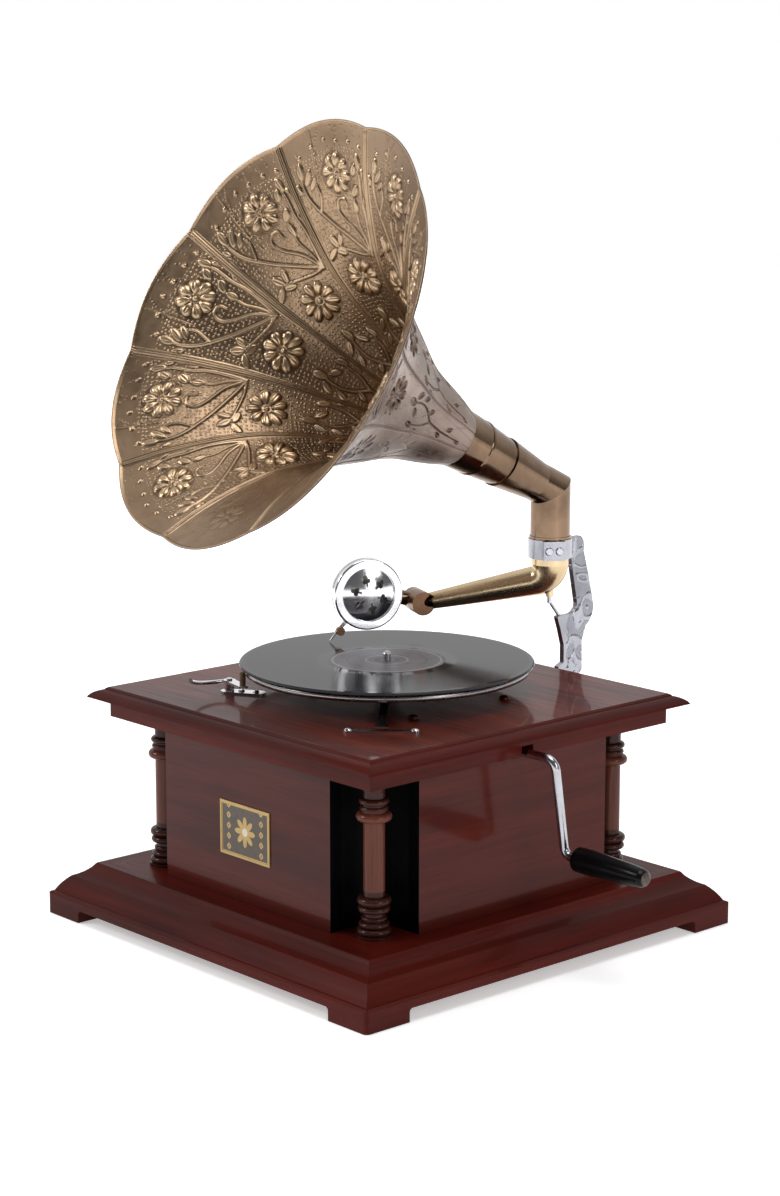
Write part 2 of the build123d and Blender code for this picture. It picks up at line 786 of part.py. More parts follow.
with BuildPart() as felt_mat:
    with BuildSketch(Plane.XY.offset(felt_z)):
        Circle(platter_radius - 4.2)
        Circle(10, mode=Mode.SUBTRACT)
    extrude(amount=record_z - felt_z)
felt_mat.part.label = "felt_mat"
export_step(felt_mat.part, "parts/felt_mat.step")

record_hole = 3.65
with BuildPart() as record:
    with BuildSketch(upright(0, 0)):
        with BuildLine():
            Polyline(
                (record_hole, record_z), (record_radius - 1.2, record_z),
                (record_radius, record_z + 0.9), (record_radius, record_top_z - 0.7),
                (record_radius - 0.9, record_top_z), (record_hole, record_top_z),
                (record_hole, record_z),
            )
        make_face()
    revolve(axis=Axis.Z)
record.part.label = "record"
export_step(record.part, "parts/record.step")

with BuildPart() as record_label:
    with BuildSketch(Plane.XY.offset(record_top_z)):
        Circle(label_radius)
        Circle(record_hole, mode=Mode.SUBTRACT)
    extrude(amount=0.12)
record_label.part.label = "record_label"
export_step(record_label.part, "parts/record_label.step")

# ---- Speed regulator on the deck ----

scale_centre = Vector(108.5, -103.4, 0)
scale_bearing = degrees(atan2(scale_centre.Y, scale_centre.X))
scale_plane = Plane(origin=(scale_centre.X, scale_centre.Y, deck_top_z),
                    x_dir=(-sin(radians(scale_bearing)), cos(radians(scale_bearing)), 0),
                    z_dir=(0, 0, 1))
scale_screw_spread = 27.0
with BuildPart() as speed_scale:
    with BuildSketch(scale_plane):
        SlotOverall(61, 7)
        with Locations((-scale_screw_spread, 0), (scale_screw_spread, 0)):
            Circle(1.5, mode=Mode.SUBTRACT)
    extrude(amount=1.6)
    with BuildSketch(scale_plane.offset(1.6)):
        with Locations(*[(step * 6, 2.0) for step in range(-3, 4)]):
            Rectangle(0.7, 2.2)
    extrude(amount=-0.4, mode=Mode.SUBTRACT)
speed_scale.part.label = "speed_scale"
export_step(speed_scale.part, "parts/speed_scale.step")

arm_bearing = atan2(scale_centre.Y - speed_pivot.Y, scale_centre.X - speed_pivot.X)
speed_reach = hypot(scale_centre.X - speed_pivot.X, scale_centre.Y - speed_pivot.Y)
speed_plane = Plane(origin=(speed_pivot.X, speed_pivot.Y, 205.4),
                    x_dir=(cos(arm_bearing), sin(arm_bearing), 0), z_dir=(0, 0, 1))
pad_arm_length = 14.0
to_governor = atan2(governor_place.Y - speed_pivot.Y, governor_place.X - speed_pivot.X)
pivot_to_governor = hypot(governor_place.X - speed_pivot.X, governor_place.Y - speed_pivot.Y)
pad_bearing = to_governor - acos(pad_arm_length / pivot_to_governor)
pad_x = speed_pivot.X + pad_arm_length * cos(pad_bearing)
pad_y = speed_pivot.Y + pad_arm_length * sin(pad_bearing)
pad_low_z = 166.0
pad_high_z = 171.6
with BuildPart() as speed_lever:
    with BuildSketch(Plane(origin=(speed_pivot.X, speed_pivot.Y, pad_high_z))):
        Circle(speed_shaft_radius)
    extrude(amount=207 - pad_high_z)
    with BuildSketch(speed_plane):
        Circle(6)
        Polygon((0, -3.2), (speed_reach - 16, -3.2), (speed_reach - 5, -5.4), (speed_reach + 1, -5.4),
                (speed_reach + 1, 5.4), (speed_reach - 5, 5.4), (speed_reach - 16, 3.2), (0, 3.2),
                align=None)
    extrude(amount=1.6)
    with BuildSketch(Plane(origin=(speed_pivot.X, speed_pivot.Y, pad_high_z),
                           x_dir=(cos(pad_bearing), sin(pad_bearing), 0), z_dir=(0, 0, 1))):
        with Locations((pad_arm_length / 2, 0)):
            SlotOverall(pad_arm_length + 2 * speed_shaft_radius, 2 * speed_shaft_radius)
    extrude(amount=1.6)
speed_lever.part.label = "speed_lever"
export_step(speed_lever.part, "parts/speed_lever.step")

with BuildPart() as speed_pad:
    with BuildSketch(Plane(origin=(pad_x, pad_y, pad_low_z))):
        Circle(2.4)
    extrude(amount=pad_high_z - pad_low_z)
speed_pad.part.label = "speed_pad"
export_step(speed_pad.part, "parts/speed_pad.step")

# ---- Turntable brake ----

brake_pivot = Vector(-84.0, -105.0, 0)
bracket_tail = Vector(-60.0, -90.0, 0)
brake_plane = Plane(
    origin=(brake_pivot.X, brake_pivot.Y, deck_top_z),
    x_dir=unit(bracket_tail.X - brake_pivot.X, bracket_tail.Y - brake_pivot.Y),
    z_dir=(0, 0, 1),
)
brake_post_radius = 2.5
brake_lever_z = 211.5
brake_screw_places = ((11, 0), (24, 0))
with BuildPart() as brake_bracket:
    with BuildSketch(brake_plane):
        with Locations((12.5, 0)):
            SlotOverall(40, 13)
        with Locations(*brake_screw_places):
            Circle(1.5, mode=Mode.SUBTRACT)
    extrude(amount=1.6)
    with BuildSketch(brake_plane.offset(1.6)):
        Circle(4.2)
    extrude(amount=brake_lever_z - 0.3 - deck_top_z - 1.6)
    with BuildSketch(brake_plane.offset(brake_lever_z - 0.3 - deck_top_z)):
        Circle(brake_post_radius)
    extrude(amount=3.4)
brake_bracket.part.label = "brake_bracket"
export_step(brake_bracket.part, "parts/brake_bracket.step")

pad_angle = radians(-118.0)
brake_pad_radius = 2.6
pad_distance = platter_radius + 0.3 + brake_pad_radius
brake_pad_place = Vector(pad_distance * cos(pad_angle), pad_distance * sin(pad_angle), 0)
brake_arm_length = (brake_pad_place - brake_pivot).length
with BuildPart() as brake_lever:
    with BuildSketch(Plane(origin=(brake_pivot.X, brake_pivot.Y, brake_lever_z),
                           x_dir=unit(brake_pad_place.X - brake_pivot.X,
                                      brake_pad_place.Y - brake_pivot.Y),
                           z_dir=(0, 0, 1))):
        with Locations((brake_arm_length / 2, 0)):
            SlotOverall(brake_arm_length + 9, 9)
        Circle(5.5)
        Circle(brake_post_radius + running_fit, mode=Mode.SUBTRACT)
    extrude(amount=1.8)
    with BuildLine():
        handle = ThreePointArc((-86.5, -109.5, 212.4), (-89, -132, 213.8), (-77, -152, 221))
    with BuildSketch(Plane(origin=handle @ 0, z_dir=handle % 0)):
        Circle(1.7)
    sweep(path=handle)
brake_lever.part.label = "brake_lever"
export_step(brake_lever.part, "parts/brake_lever.step")

with BuildPart() as brake_pad:
    with BuildSketch(Plane(origin=(brake_pad_place.X, brake_pad_place.Y, brake_lever_z + 1.8))):
        Circle(brake_pad_radius)
    extrude(amount=224.6 - brake_lever_z - 1.8)
brake_pad.part.label = "brake_pad"
export_step(brake_pad.part, "parts/brake_pad.step")

# Round-head screws that hold the speed scale and the brake bracket down.
screw_places = [
    brake_plane.from_local_coords(Vector(x, y, 1.6)) for x, y in brake_screw_places
] + [scale_plane.from_local_coords(Vector(x, 0, 1.6)) for x in
     (-scale_screw_spread, scale_screw_spread)]
with BuildPart() as deck_screws:
    for head in screw_places:
        with BuildSketch(upright(head.X, head.Y)):
            with BuildLine():
                Polyline((0, deck_top_z), (1.5, deck_top_z), (1.5, head.Z), (3.0, head.Z),
                         (2.8, head.Z + 0.6))
                ThreePointArc((2.8, head.Z + 0.6), (1.9, head.Z + 1.4), (0.5, head.Z + 1.8))
                Polyline((0.5, head.Z + 1.8), (0, head.Z + 1.8), (0, deck_top_z))
            make_face()
        revolve(axis=Axis((head.X, head.Y, 0), (0, 0, 1)))
deck_screws.part.label = "deck_screws"
export_step(deck_screws.part, "parts/deck_screws.step")

# ---- Winding crank ----

crank_start = Vector(sleeve_end_x - socket_depth, crank_y, crank_z)
crank_top = Vector(crank_bend_x, crank_y, crank_z)
crank_foot = Vector(crank_bend_x, grip_y, grip_z)
crank_tip = Vector(grip_end_x - 6, grip_y, grip_z)
with BuildPart() as crank:
    with BuildLine():
        rod = FilletPolyline(crank_start, crank_top, crank_foot, crank_tip, radius=(9.5, 8.0))
    with BuildSketch(Plane(origin=rod @ 0, z_dir=rod % 0)):
        Circle(crank_rod_radius)
    sweep(path=rod)
crank.part.label = "crank"
export_step(crank.part, "parts/crank.step")

with BuildPart() as crank_grip:
    with BuildSketch(Plane(origin=(0, grip_y, grip_z), x_dir=(1, 0, 0), z_dir=(0, -1, 0))):
        with BuildLine():
            bore = crank_rod_radius + 0.07
            Polyline((grip_end_x - 5.5, 0), (grip_end_x - 5.5, bore), (grip_start_x, bore),
                     (grip_start_x, 9.2))
            ThreePointArc((grip_start_x, 9.2), (grip_start_x + 0.5, 10.0), (grip_start_x + 1.6, 10.3))
            Spline((grip_start_x + 1.6, 10.3), (grip_start_x + 20, 10.4), (grip_start_x + 45, 9.4),
                   (grip_end_x - 8, 7.9), tangents=((1, 0.06), (1, -0.14)))
            ThreePointArc((grip_end_x - 8, 7.9), (grip_end_x - 3.4, 6.9), (grip_end_x - 0.8, 4.8))
            ThreePointArc((grip_end_x - 0.8, 4.8), (grip_end_x - 0.2, 2.8), (grip_end_x, 0.8))
            Polyline((grip_end_x, 0.8), (grip_end_x, 0), (grip_end_x - 5.5, 0))
        make_face()
    revolve(axis=Axis((0, grip_y, grip_z), (1, 0, 0)))
crank_grip.part.label = "crank_grip"
export_step(crank_grip.part, "parts/crank_grip.step")

# ---- Cast support bracket with its collar, screws and pivot pin ----

side_plane = Plane(origin=(bracket_plate_x, 0, 0), x_dir=(0, 1, 0), z_dir=(1, 0, 0))
ledge_top_z = 248.8
bracket_top_z = 318.0
lug_way = Vector(cos(radians(-35)), sin(radians(-35)), 0)  # the clamp lug faces half forward
collar_middle = Vector(arm_x, arm_y, (collar_low_z + collar_top_z) / 2)
lug_plane = Plane(origin=collar_middle + lug_way * (collar_radius + 3), x_dir=(0, 0, 1),
                  z_dir=lug_way)
with BuildPart() as support_bracket:
    with BuildSketch(side_plane):
        with BuildLine():
            Polyline(
                (frieze_half, bracket_foot_low), (frieze_half, 193.0), (notch_y + 0.3, 193.0),
                (notch_y + 0.3, 203.0), (179.0, 206.0), (178.9, 221.7), (174.8, 235.8),
                (170.8, 247.4), (171.6, ledge_top_z), (187.3, ledge_top_z),
            )
            ThreePointArc((187.3, ledge_top_z), (193.2, 252.4), (194.7, 260.3))
            Polyline((194.7, 260.3), (189.1, 288.1), (186.3, collar_low_z))
            Line((186.3, collar_low_z), (176, collar_low_z))
            Polyline((176, collar_low_z), (176, bracket_top_z), (198.7, bracket_top_z))
            ThreePointArc((198.7, bracket_top_z), (202.0, 314.2), (202.8, 304.5))
            Polyline((202.8, 304.5), (209.6, 281.0), (215.0, 258.6))
            ThreePointArc((215.0, 258.6), (215.2, 247.0), (206.7, 236.0))
            Polyline((206.7, 236.0), (201.8, 222.9), (202.3, 197.3), (192, 184),
                     (180, bracket_foot_low), (frieze_half, bracket_foot_low))
        make_face()
    extrude(amount=bracket_half_width, both=True)
    with BuildSketch(Plane.XZ.offset(-frieze_half)):
        with Locations((arm_x, (bracket_foot_low + 192.9) / 2)):
            RectangleRounded(2 * (bracket_screw_spread + 7), 192.9 - bracket_foot_low, 3)
    extrude(amount=-5)
    with BuildSketch(Plane(origin=(arm_x, arm_y, collar_low_z))):
        Circle(collar_radius)
    extrude(amount=collar_top_z - collar_low_z)
    with Locations(lug_plane.offset(-6)):
        Box(collar_top_z - collar_low_z, 19, 12)
    with BuildSketch(Plane(origin=(arm_x, arm_y, collar_low_z - 1))):
        Circle(arm_top_radius + 0.08)
    extrude(amount=collar_top_z - collar_low_z + 2, mode=Mode.SUBTRACT)
    with Locations(Plane.XZ.offset(-frieze_half - 5)):
        with Locations((arm_x - bracket_screw_spread, bracket_screw_z),
                       (arm_x + bracket_screw_spread, bracket_screw_z)):
            Cylinder(1.5, 30, mode=Mode.SUBTRACT)
support_bracket.part.label = "support_bracket"
export_step(support_bracket.part, "parts/support_bracket.step")

# Two wood screws at the foot, and two clamp screws on the collar's front lug.
with BuildPart() as bracket_screws:
    for screw_x in (arm_x - bracket_screw_spread, arm_x + bracket_screw_spread):
        with BuildSketch(Plane.XZ.offset(-frieze_half + 19.5)):
            with Locations((screw_x, bracket_screw_z)):
                Circle(1.5)
        extrude(amount=-24.5)
        with BuildSketch(Plane.XZ.offset(-frieze_half - 5)):
            with Locations((screw_x, bracket_screw_z)):
                Circle(3.6)
        extrude(amount=-1.8, taper=25)
    for screw_place in (-4.6, 4.6):
        with BuildSketch(lug_plane):
            with Locations((0, screw_place)):
                Circle(3.7)
        extrude(amount=1.8, taper=25)
bracket_screws.part.label = "bracket_screws"
export_step(bracket_screws.part, "parts/bracket_screws.step")

pin_foot = Vector(bracket_plate_x, 174.5, ledge_top_z)

# ---- Tone arm ----

front_dir = unit(0.92, -0.39)  # the way the sound box faces
reach_dir = unit(-0.39, -0.92)  # from the knuckle to the sound box
soundbox_face = Vector(-70.6, 42.5, soundbox_z)
gooseneck_length = 52.9
knuckle_axis = Vector(soundbox_face.X, soundbox_face.Y, knuckle_z) - reach_dir * gooseneck_length
knuckle_radius = 10.6
arm_end = knuckle_axis - front_dir * 12
arm_end_radius = 7.0
arm_level = Vector(arm_end.X - arm_x, arm_end.Y - arm_y, 0)
arm_dir_level = arm_level.normalized()
arm_dir = arm_dir_level * cos(radians(arm_slope)) - Vector(0, 0, sin(radians(arm_slope)))
arm_corner_z = knuckle_z + arm_level.length * tan(radians(arm_slope))
bend_radius = 16.5
bend_turn = 90 - arm_slope
bend_tangent = bend_radius * tan(radians(bend_turn / 2))
bend_top_z = arm_corner_z + bend_tangent
bend_end_radius = 13.2
arm_wall = 1.0
arm_top_z = collar_top_z - 0.6


def arm_section(turn):
    """Plane across the tube after it has turned by this many degrees from straight down."""
    angle = radians(turn)
    centre = Vector(arm_x, arm_y, bend_top_z) + arm_dir_level * bend_radius * (1 - cos(angle))
    centre -= Vector(0, 0, bend_radius * sin(angle))
    heading = arm_dir_level * sin(angle) - Vector(0, 0, cos(angle))
    across = arm_dir_level.cross(Vector(0, 0, 1))
    return Plane(origin=centre, x_dir=across, z_dir=heading)


def arm_core(wall):
    """The tone arm's tube as a solid, its skin drawn in by the wall."""
    start_radius = arm_top_radius - 0.3 - wall
    end_radius = bend_end_radius - wall
    with BuildPart(mode=Mode.PRIVATE) as core:
        with BuildSketch(Plane(origin=(arm_x, arm_y, bend_top_z))):
            Circle(start_radius)
        extrude(amount=arm_top_z - bend_top_z)
        sections = 4
        for index in range(sections + 1):
            share = index / sections
            with BuildSketch(arm_section(bend_turn * share)):
                Circle(start_radius + (end_radius - start_radius) * share)
        loft()
        run = (arm_end - arm_section(bend_turn).origin).length
        with BuildSketch(arm_section(bend_turn)):
            Circle(end_radius)
        with BuildSketch(arm_section(bend_turn).offset(run)):
            Circle(arm_end_radius - wall)
        loft()
    return core.part


tube_outer = arm_core(0.0)
tube_inner = arm_core(arm_wall)
knuckle_plane = Plane(origin=knuckle_axis - front_dir * 18.8, x_dir=reach_dir, z_dir=front_dir)
pivot_cup_low = 268.2
with BuildPart() as tonearm_tube:
    add(tube_outer)
    with BuildSketch(Plane(origin=(arm_x, arm_y, collar_low_z + 1))):
        Circle(arm_top_radius)
    extrude(amount=arm_top_z - collar_low_z - 1)
    with BuildSketch(Plane(origin=(arm_x, arm_y, pivot_cup_low))):
        Circle(3.6)
    extrude(amount=14)
    add(tube_inner, mode=Mode.SUBTRACT)
    with BuildSketch(Plane(origin=(arm_x, arm_y, bend_top_z))):
        Circle(arm_top_radius - 1.3)
    extrude(amount=30, mode=Mode.SUBTRACT)
    with BuildSketch(knuckle_plane):
        Circle(knuckle_radius)
    extrude(amount=20, mode=Mode.SUBTRACT)
tonearm_tube.part.label = "tonearm_tube"
export_step(tonearm_tube.part, "parts/tonearm_tube.step")

spigot_radius = 7.5
with BuildPart() as tonearm_knuckle:
    with BuildSketch(knuckle_plane):
        Circle(knuckle_radius)
    extrude(amount=13.8)
    with BuildSketch(knuckle_plane):
        Circle(spigot_radius + running_fit)
    extrude(amount=10.8, mode=Mode.SUBTRACT)
    with BuildSketch(Plane(origin=arm_end, z_dir=arm_dir)):
        Circle(arm_end_radius - arm_wall - 0.4)
    extrude(amount=-14, mode=Mode.SUBTRACT)
tonearm_knuckle.part.label = "tonearm_knuckle"
export_step(tonearm_knuckle.part, "parts/tonearm_knuckle.step")

# The pin leans in from the bracket's ledge to its point in the cup under the bend.
pin_head = Vector(arm_x, arm_y, pivot_cup_low - 0.35)
with BuildPart() as pivot_pin:
    pin_dir = (pin_head - pin_foot).normalized()
    pin_shoulder = pin_head - Vector(0, 0, 4.0)
    shoulder_dir = (pin_shoulder - pin_foot).normalized()
    with BuildSketch(Plane(origin=pin_foot - shoulder_dir * 3, z_dir=shoulder_dir)):
        Circle(1.5)
    extrude(amount=(pin_shoulder - pin_foot).length + 3)
    with BuildSketch(Plane(origin=pin_shoulder - Vector(0, 0, 1.6))):
        Circle(2.2)
    extrude(amount=5.6)
    with BuildSketch(Plane(origin=(pin_foot.X, pin_foot.Y, ledge_top_z - 6))):
        Rectangle(12, 12)
    extrude(amount=6, mode=Mode.SUBTRACT)
pivot_pin.part.label = "pivot_pin"
export_step(pivot_pin.part, "parts/pivot_pin.step")

# ---- Gooseneck and sound box ----

gooseneck_radius = 6.6
gooseneck_wall = 1.1
rear_plane = Plane(origin=knuckle_axis - front_dir * 33, x_dir=reach_dir, z_dir=front_dir)
neck_start = knuckle_axis - front_dir * 26
neck_corner = soundbox_face - front_dir * 26
neck_end = soundbox_face - front_dir * soundbox_depth
neck_dir = (neck_corner - neck_start).normalized()


def neck_path(start_offset):
    """The gooseneck's centre line, from this far along its straight part."""
    return FilletPolyline(neck_start + neck_dir * start_offset, neck_corner, neck_end, radius=8)


with BuildPart() as gooseneck:
    with BuildSketch(rear_plane):
        Circle(knuckle_radius)
    extrude(amount=13.9)
    with BuildSketch(rear_plane):
        Circle(spigot_radius)
    extrude(amount=16.0)
    with BuildLine():
        neck_line = neck_path(4)
    with BuildSketch(Plane(origin=neck_line @ 0, z_dir=neck_line % 0)):
        Circle(gooseneck_radius)
    sweep(path=neck_line)
    with BuildSketch(rear_plane.offset(3)):
        Circle(spigot_radius - 1.5)
    extrude(amount=14, mode=Mode.SUBTRACT)
    with BuildLine():
        bore_line = neck_path(0)
    with BuildSketch(Plane(origin=bore_line @ 0, z_dir=bore_line % 0)):
        Circle(gooseneck_radius - gooseneck_wall)
    sweep(path=bore_line, mode=Mode.SUBTRACT)
gooseneck.part.label = "gooseneck"
export_step(gooseneck.part, "parts/gooseneck.step")

# Sections of the round parts: x runs outward from the centre, y runs to the front.
box_section = Plane(origin=soundbox_face, x_dir=reach_dir, z_dir=(0, 0, 1))
box_axis = Axis(soundbox_face, front_dir)
stylus_dir = (reach_dir * 0.88 - Vector(0, 0, 1)).normalized()
stylus_depth = 4.6
stylus_origin = soundbox_face - front_dir * stylus_depth
grille_seat = 2.4
grille_radius = 24.5
diaphragm_radius = 27.2
with BuildPart() as soundbox_shell:
    with BuildSketch(box_section):
        with BuildLine():
            Polyline(
                (gooseneck_radius - gooseneck_wall, -soundbox_depth),
                (soundbox_radius - 1.4, -soundbox_depth),
                (soundbox_radius, -soundbox_depth + 1.4), (soundbox_radius, -7.6),
                (soundbox_radius - 0.8, -7.2), (soundbox_radius - 0.8, -6.6),
                (soundbox_radius, -6.2), (soundbox_radius, -1.6),
            )
            ThreePointArc((soundbox_radius, -1.6), (soundbox_radius - 0.5, -0.5),
                          (soundbox_radius - 1.6, 0))
            Polyline(
                (soundbox_radius - 1.6, 0), (grille_radius + 0.1, -0.2),
                (grille_radius + 0.1, -grille_seat), (grille_radius + 1.4, -grille_seat),
                (grille_radius + 1.4, -6.8), (diaphragm_radius + 0.7, -6.8),
                (diaphragm_radius + 0.7, -11), (gooseneck_radius - gooseneck_wall, -11),
                (gooseneck_radius - gooseneck_wall, -soundbox_depth),
            )
        make_face()
    revolve(axis=box_axis)
    with BuildSketch(Plane(origin=stylus_origin + stylus_dir * 23.4, z_dir=stylus_dir,
                           x_dir=front_dir)):
        Rectangle(4.2, 5.6)
    extrude(amount=12, mode=Mode.SUBTRACT)
soundbox_shell.part.label = "soundbox_shell"
export_step(soundbox_shell.part, "parts/soundbox_shell.step")

gasket_inner = diaphragm_radius - 2.3
gasket_outer = diaphragm_radius + 0.6
with BuildPart() as gaskets:
    for low_n, high_n in ((-11.0, -8.2), (-7.8, -6.8)):
        with BuildSketch(box_section):
            with BuildLine():
                Polyline((gasket_inner, low_n), (gasket_outer, low_n),
                         (gasket_outer, high_n), (gasket_inner, high_n),
                         (gasket_inner, low_n))
            make_face()
        revolve(axis=box_axis)
gaskets.part.label = "gaskets"
export_step(gaskets.part, "parts/gaskets.step")

with BuildPart() as diaphragm:
    with BuildSketch(box_section):
        with BuildLine():
            Polyline((0, -8.2), (diaphragm_radius, -8.2), (diaphragm_radius, -7.8), (0, -7.8),
                     (0, -8.2))
        make_face()
    revolve(axis=box_axis)
diaphragm.part.label = "diaphragm"
export_step(diaphragm.part, "parts/diaphragm.step")

dome_sphere = 72.8  # the grille is part of a sphere
dome_top = 2.4
dome_wall = 0.8
dome_edge = grille_radius - 0.7


def dome_point(radius, depth):
    """Point of the grille's section this far from its axis and under its outer skin."""
    return radius, sqrt((dome_sphere - depth) ** 2 - radius**2) - dome_sphere + dome_top


with BuildPart() as soundbox_grille:
    with BuildSketch(box_section):
        with BuildLine():
            Line((0, dome_top - dome_wall), (0, dome_top))
            ThreePointArc((0, dome_top), dome_point(12.8, 0), dome_point(dome_edge, 0))
            Polyline(dome_point(dome_edge, 0), (grille_radius, -1.6), (grille_radius, -2.4),
                     dome_point(dome_edge - 0.2, dome_wall))
            ThreePointArc(dome_point(dome_edge - 0.2, dome_wall), dome_point(12.6, dome_wall),
                          (0, dome_top - dome_wall))
        make_face()
    revolve(axis=box_axis)
    with BuildSketch(Plane(origin=soundbox_face - front_dir * 6, x_dir=-reach_dir,
                           z_dir=front_dir)):
        with PolarLocations(13.6, 6, start_angle=43):
            Circle(1.2)
            with PolarLocations(2.1, 3):
                Circle(2.0)
            with Locations((-3.4, 0)):
                Rectangle(5.4, 1.8)
    extrude(amount=10, mode=Mode.SUBTRACT)
soundbox_grille.part.label = "soundbox_grille"
export_step(soundbox_grille.part, "parts/soundbox_grille.step")

# The stylus bar: a needle holder outside the rim, and a thin link to the diaphragm's centre.
holder_end = 44.0
thumb_screw_at = 40.8
needle_reach = (soundbox_z - needle_tip_z) / -stylus_dir.Z
with BuildPart() as stylus_bar:
    with BuildSketch(Plane(origin=stylus_origin + stylus_dir * 26.5, z_dir=stylus_dir,
                           x_dir=front_dir)):
        Rectangle(3.0, 3.4)
    extrude(amount=7.5)
    with BuildSketch(Plane(origin=stylus_origin + stylus_dir * 33, z_dir=stylus_dir)):
        Circle(1.9)
    extrude(amount=holder_end - 33)
    with BuildSketch(Plane(origin=stylus_origin, z_dir=stylus_dir)):
        Circle(0.8)
    extrude(amount=27.5)
    with BuildSketch(Plane(origin=soundbox_face - front_dir * 7.8, z_dir=front_dir)):
        Circle(1.2)
    extrude(amount=4.2)
    with BuildSketch(Plane(origin=stylus_origin + stylus_dir * (holder_end - 5),
                           z_dir=stylus_dir)):
        Circle(0.8)
    extrude(amount=6, mode=Mode.SUBTRACT)
    with BuildSketch(Plane(origin=stylus_origin + stylus_dir * thumb_screw_at, z_dir=front_dir)):
        Circle(1.1 + running_fit)
    extrude(amount=6, mode=Mode.SUBTRACT)
stylus_bar.part.label = "stylus_bar"
export_step(stylus_bar.part, "parts/stylus_bar.step")

with BuildPart() as needle:
    with BuildSketch(Plane(origin=stylus_origin + stylus_dir * (holder_end - 3.0),
                           z_dir=stylus_dir)):
        Circle(0.75)
    extrude(amount=needle_reach - holder_end - 1.0)
    with BuildSketch(Plane(origin=stylus_origin + stylus_dir * (needle_reach - 4.0),
                           z_dir=stylus_dir)):
        Circle(0.75)
    with BuildSketch(Plane(origin=stylus_origin + stylus_dir * needle_reach,
                           z_dir=stylus_dir)):
        Circle(0.1)
    loft()
needle.part.label = "needle"
export_step(needle.part, "parts/needle.step")

with BuildPart() as needle_screw:
    with BuildSketch(Plane(origin=stylus_origin + stylus_dir * thumb_screw_at + front_dir * 1.0,
                           z_dir=front_dir)):
        Circle(1.1)
    extrude(amount=3)
    with BuildSketch(Plane(origin=stylus_origin + stylus_dir * thumb_screw_at + front_dir * 3.0,
                           z_dir=front_dir)):
        RegularPolygon(3.9, 16)
    extrude(amount=4.2)
needle_screw.part.label = "needle_screw"
export_step(needle_screw.part, "parts/needle_screw.step")

# ---- Horn: elbow, throat and petals ----

horn_level = Vector(cos(radians(horn_azimuth)), sin(radians(horn_azimuth)), 0)
horn_dir = horn_level * cos(radians(horn_rise)) + Vector(0, 0, sin(radians(horn_rise)))
horn_side = Vector(0, 0, 1).cross(horn_dir).normalized()
mitre_point = Vector(arm_x, arm_y, elbow_mitre_z)
horn_plane = Plane(origin=mitre_point, x_dir=horn_side, z_dir=horn_dir)
horn_axis = Axis(mitre_point, horn_dir)
elbow_radius = 17.6
socket_start = 20.0
socket_end = 64.0
socket_radius = 22.6
socket_slope = (socket_radius - elbow_radius) / (socket_end - socket_start)
elbow_low_z = collar_top_z + 0.3
mitre_normal = (Vector(0, 0, 1) + horn_dir).normalized()
mitre_plane = Plane(origin=mitre_point, z_dir=mitre_normal)


def horn_ray(angle):
    """Section plane of the horn: x runs outward at this angle, y along the horn's axis."""
    outward = horn_side * cos(radians(angle))
    outward += horn_dir.cross(horn_side) * sin(radians(angle))
    return Plane(origin=mitre_point, x_dir=outward, z_dir=outward.cross(horn_dir))


def elbow_core(wall):
    """The elbow as a solid, its skin drawn in by the wall: two mitred limbs."""
    overrun = 60.0
    open_end = 0.5 if wall else 0.0
    with BuildPart(mode=Mode.PRIVATE) as lower_limb:
        with BuildSketch(Plane(origin=(arm_x, arm_y, elbow_low_z - open_end))):
            Circle(elbow_radius - wall)
        extrude(amount=elbow_mitre_z - elbow_low_z + overrun)
        split(bisect_by=mitre_plane, keep=Keep.BOTTOM)
    with BuildPart(mode=Mode.PRIVATE) as upper_limb:
        with BuildSketch(horn_ray(0)):
            with BuildLine():
                Polyline(
                    (0, -overrun), (elbow_radius - wall, -overrun),
                    (elbow_radius - wall, socket_start),
                    (socket_radius - wall + socket_slope * open_end, socket_end + open_end),
                    (0, socket_end + open_end),
                    (0, -overrun),
                )
            make_face()
        revolve(axis=horn_axis)
        split(bisect_by=mitre_plane, keep=Keep.TOP)
    return lower_limb.part + upper_limb.part


elbow_outer = elbow_core(0.0)
elbow_inner = elbow_core(horn_wall)
with BuildPart() as horn_elbow:
    add(elbow_outer)
    with BuildSketch(Plane(origin=(arm_x, arm_y, elbow_low_z))):
        Circle(18.4)
    extrude(amount=2.2)
    add(elbow_inner, mode=Mode.SUBTRACT)
horn_elbow.part.label = "horn_elbow"
export_step(horn_elbow.part, "parts/horn_elbow.step")

throat_start = 30.0
throat_end = 121.0
slip_gap = 0.35


def throat_fit(distance):
    """Outer radius of the throat where it lies inside the elbow's socket."""
    socket = elbow_radius + socket_slope * (distance - socket_start) - horn_wall
    return socket - slip_gap


throat_end_radius = 26.3
with BuildPart() as horn_throat:
    with BuildSketch(horn_ray(0)):
        with BuildLine():
            Polyline(
                (throat_fit(throat_start), throat_start), (throat_fit(socket_end), socket_end),
                (24.4, 94.0), (25.3, 95.0), (25.3, 97.0), (24.8, 98.0),
                (throat_end_radius, throat_end), (throat_end_radius - horn_wall, throat_end),
                (throat_fit(socket_end) - horn_wall, socket_end),
                (throat_fit(throat_start) - horn_wall, throat_start),
                (throat_fit(throat_start), throat_start),
            )
        make_face()
    revolve(axis=horn_axis)
horn_throat.part.label = "horn_throat"
export_step(horn_throat.part, "parts/horn_throat.step")

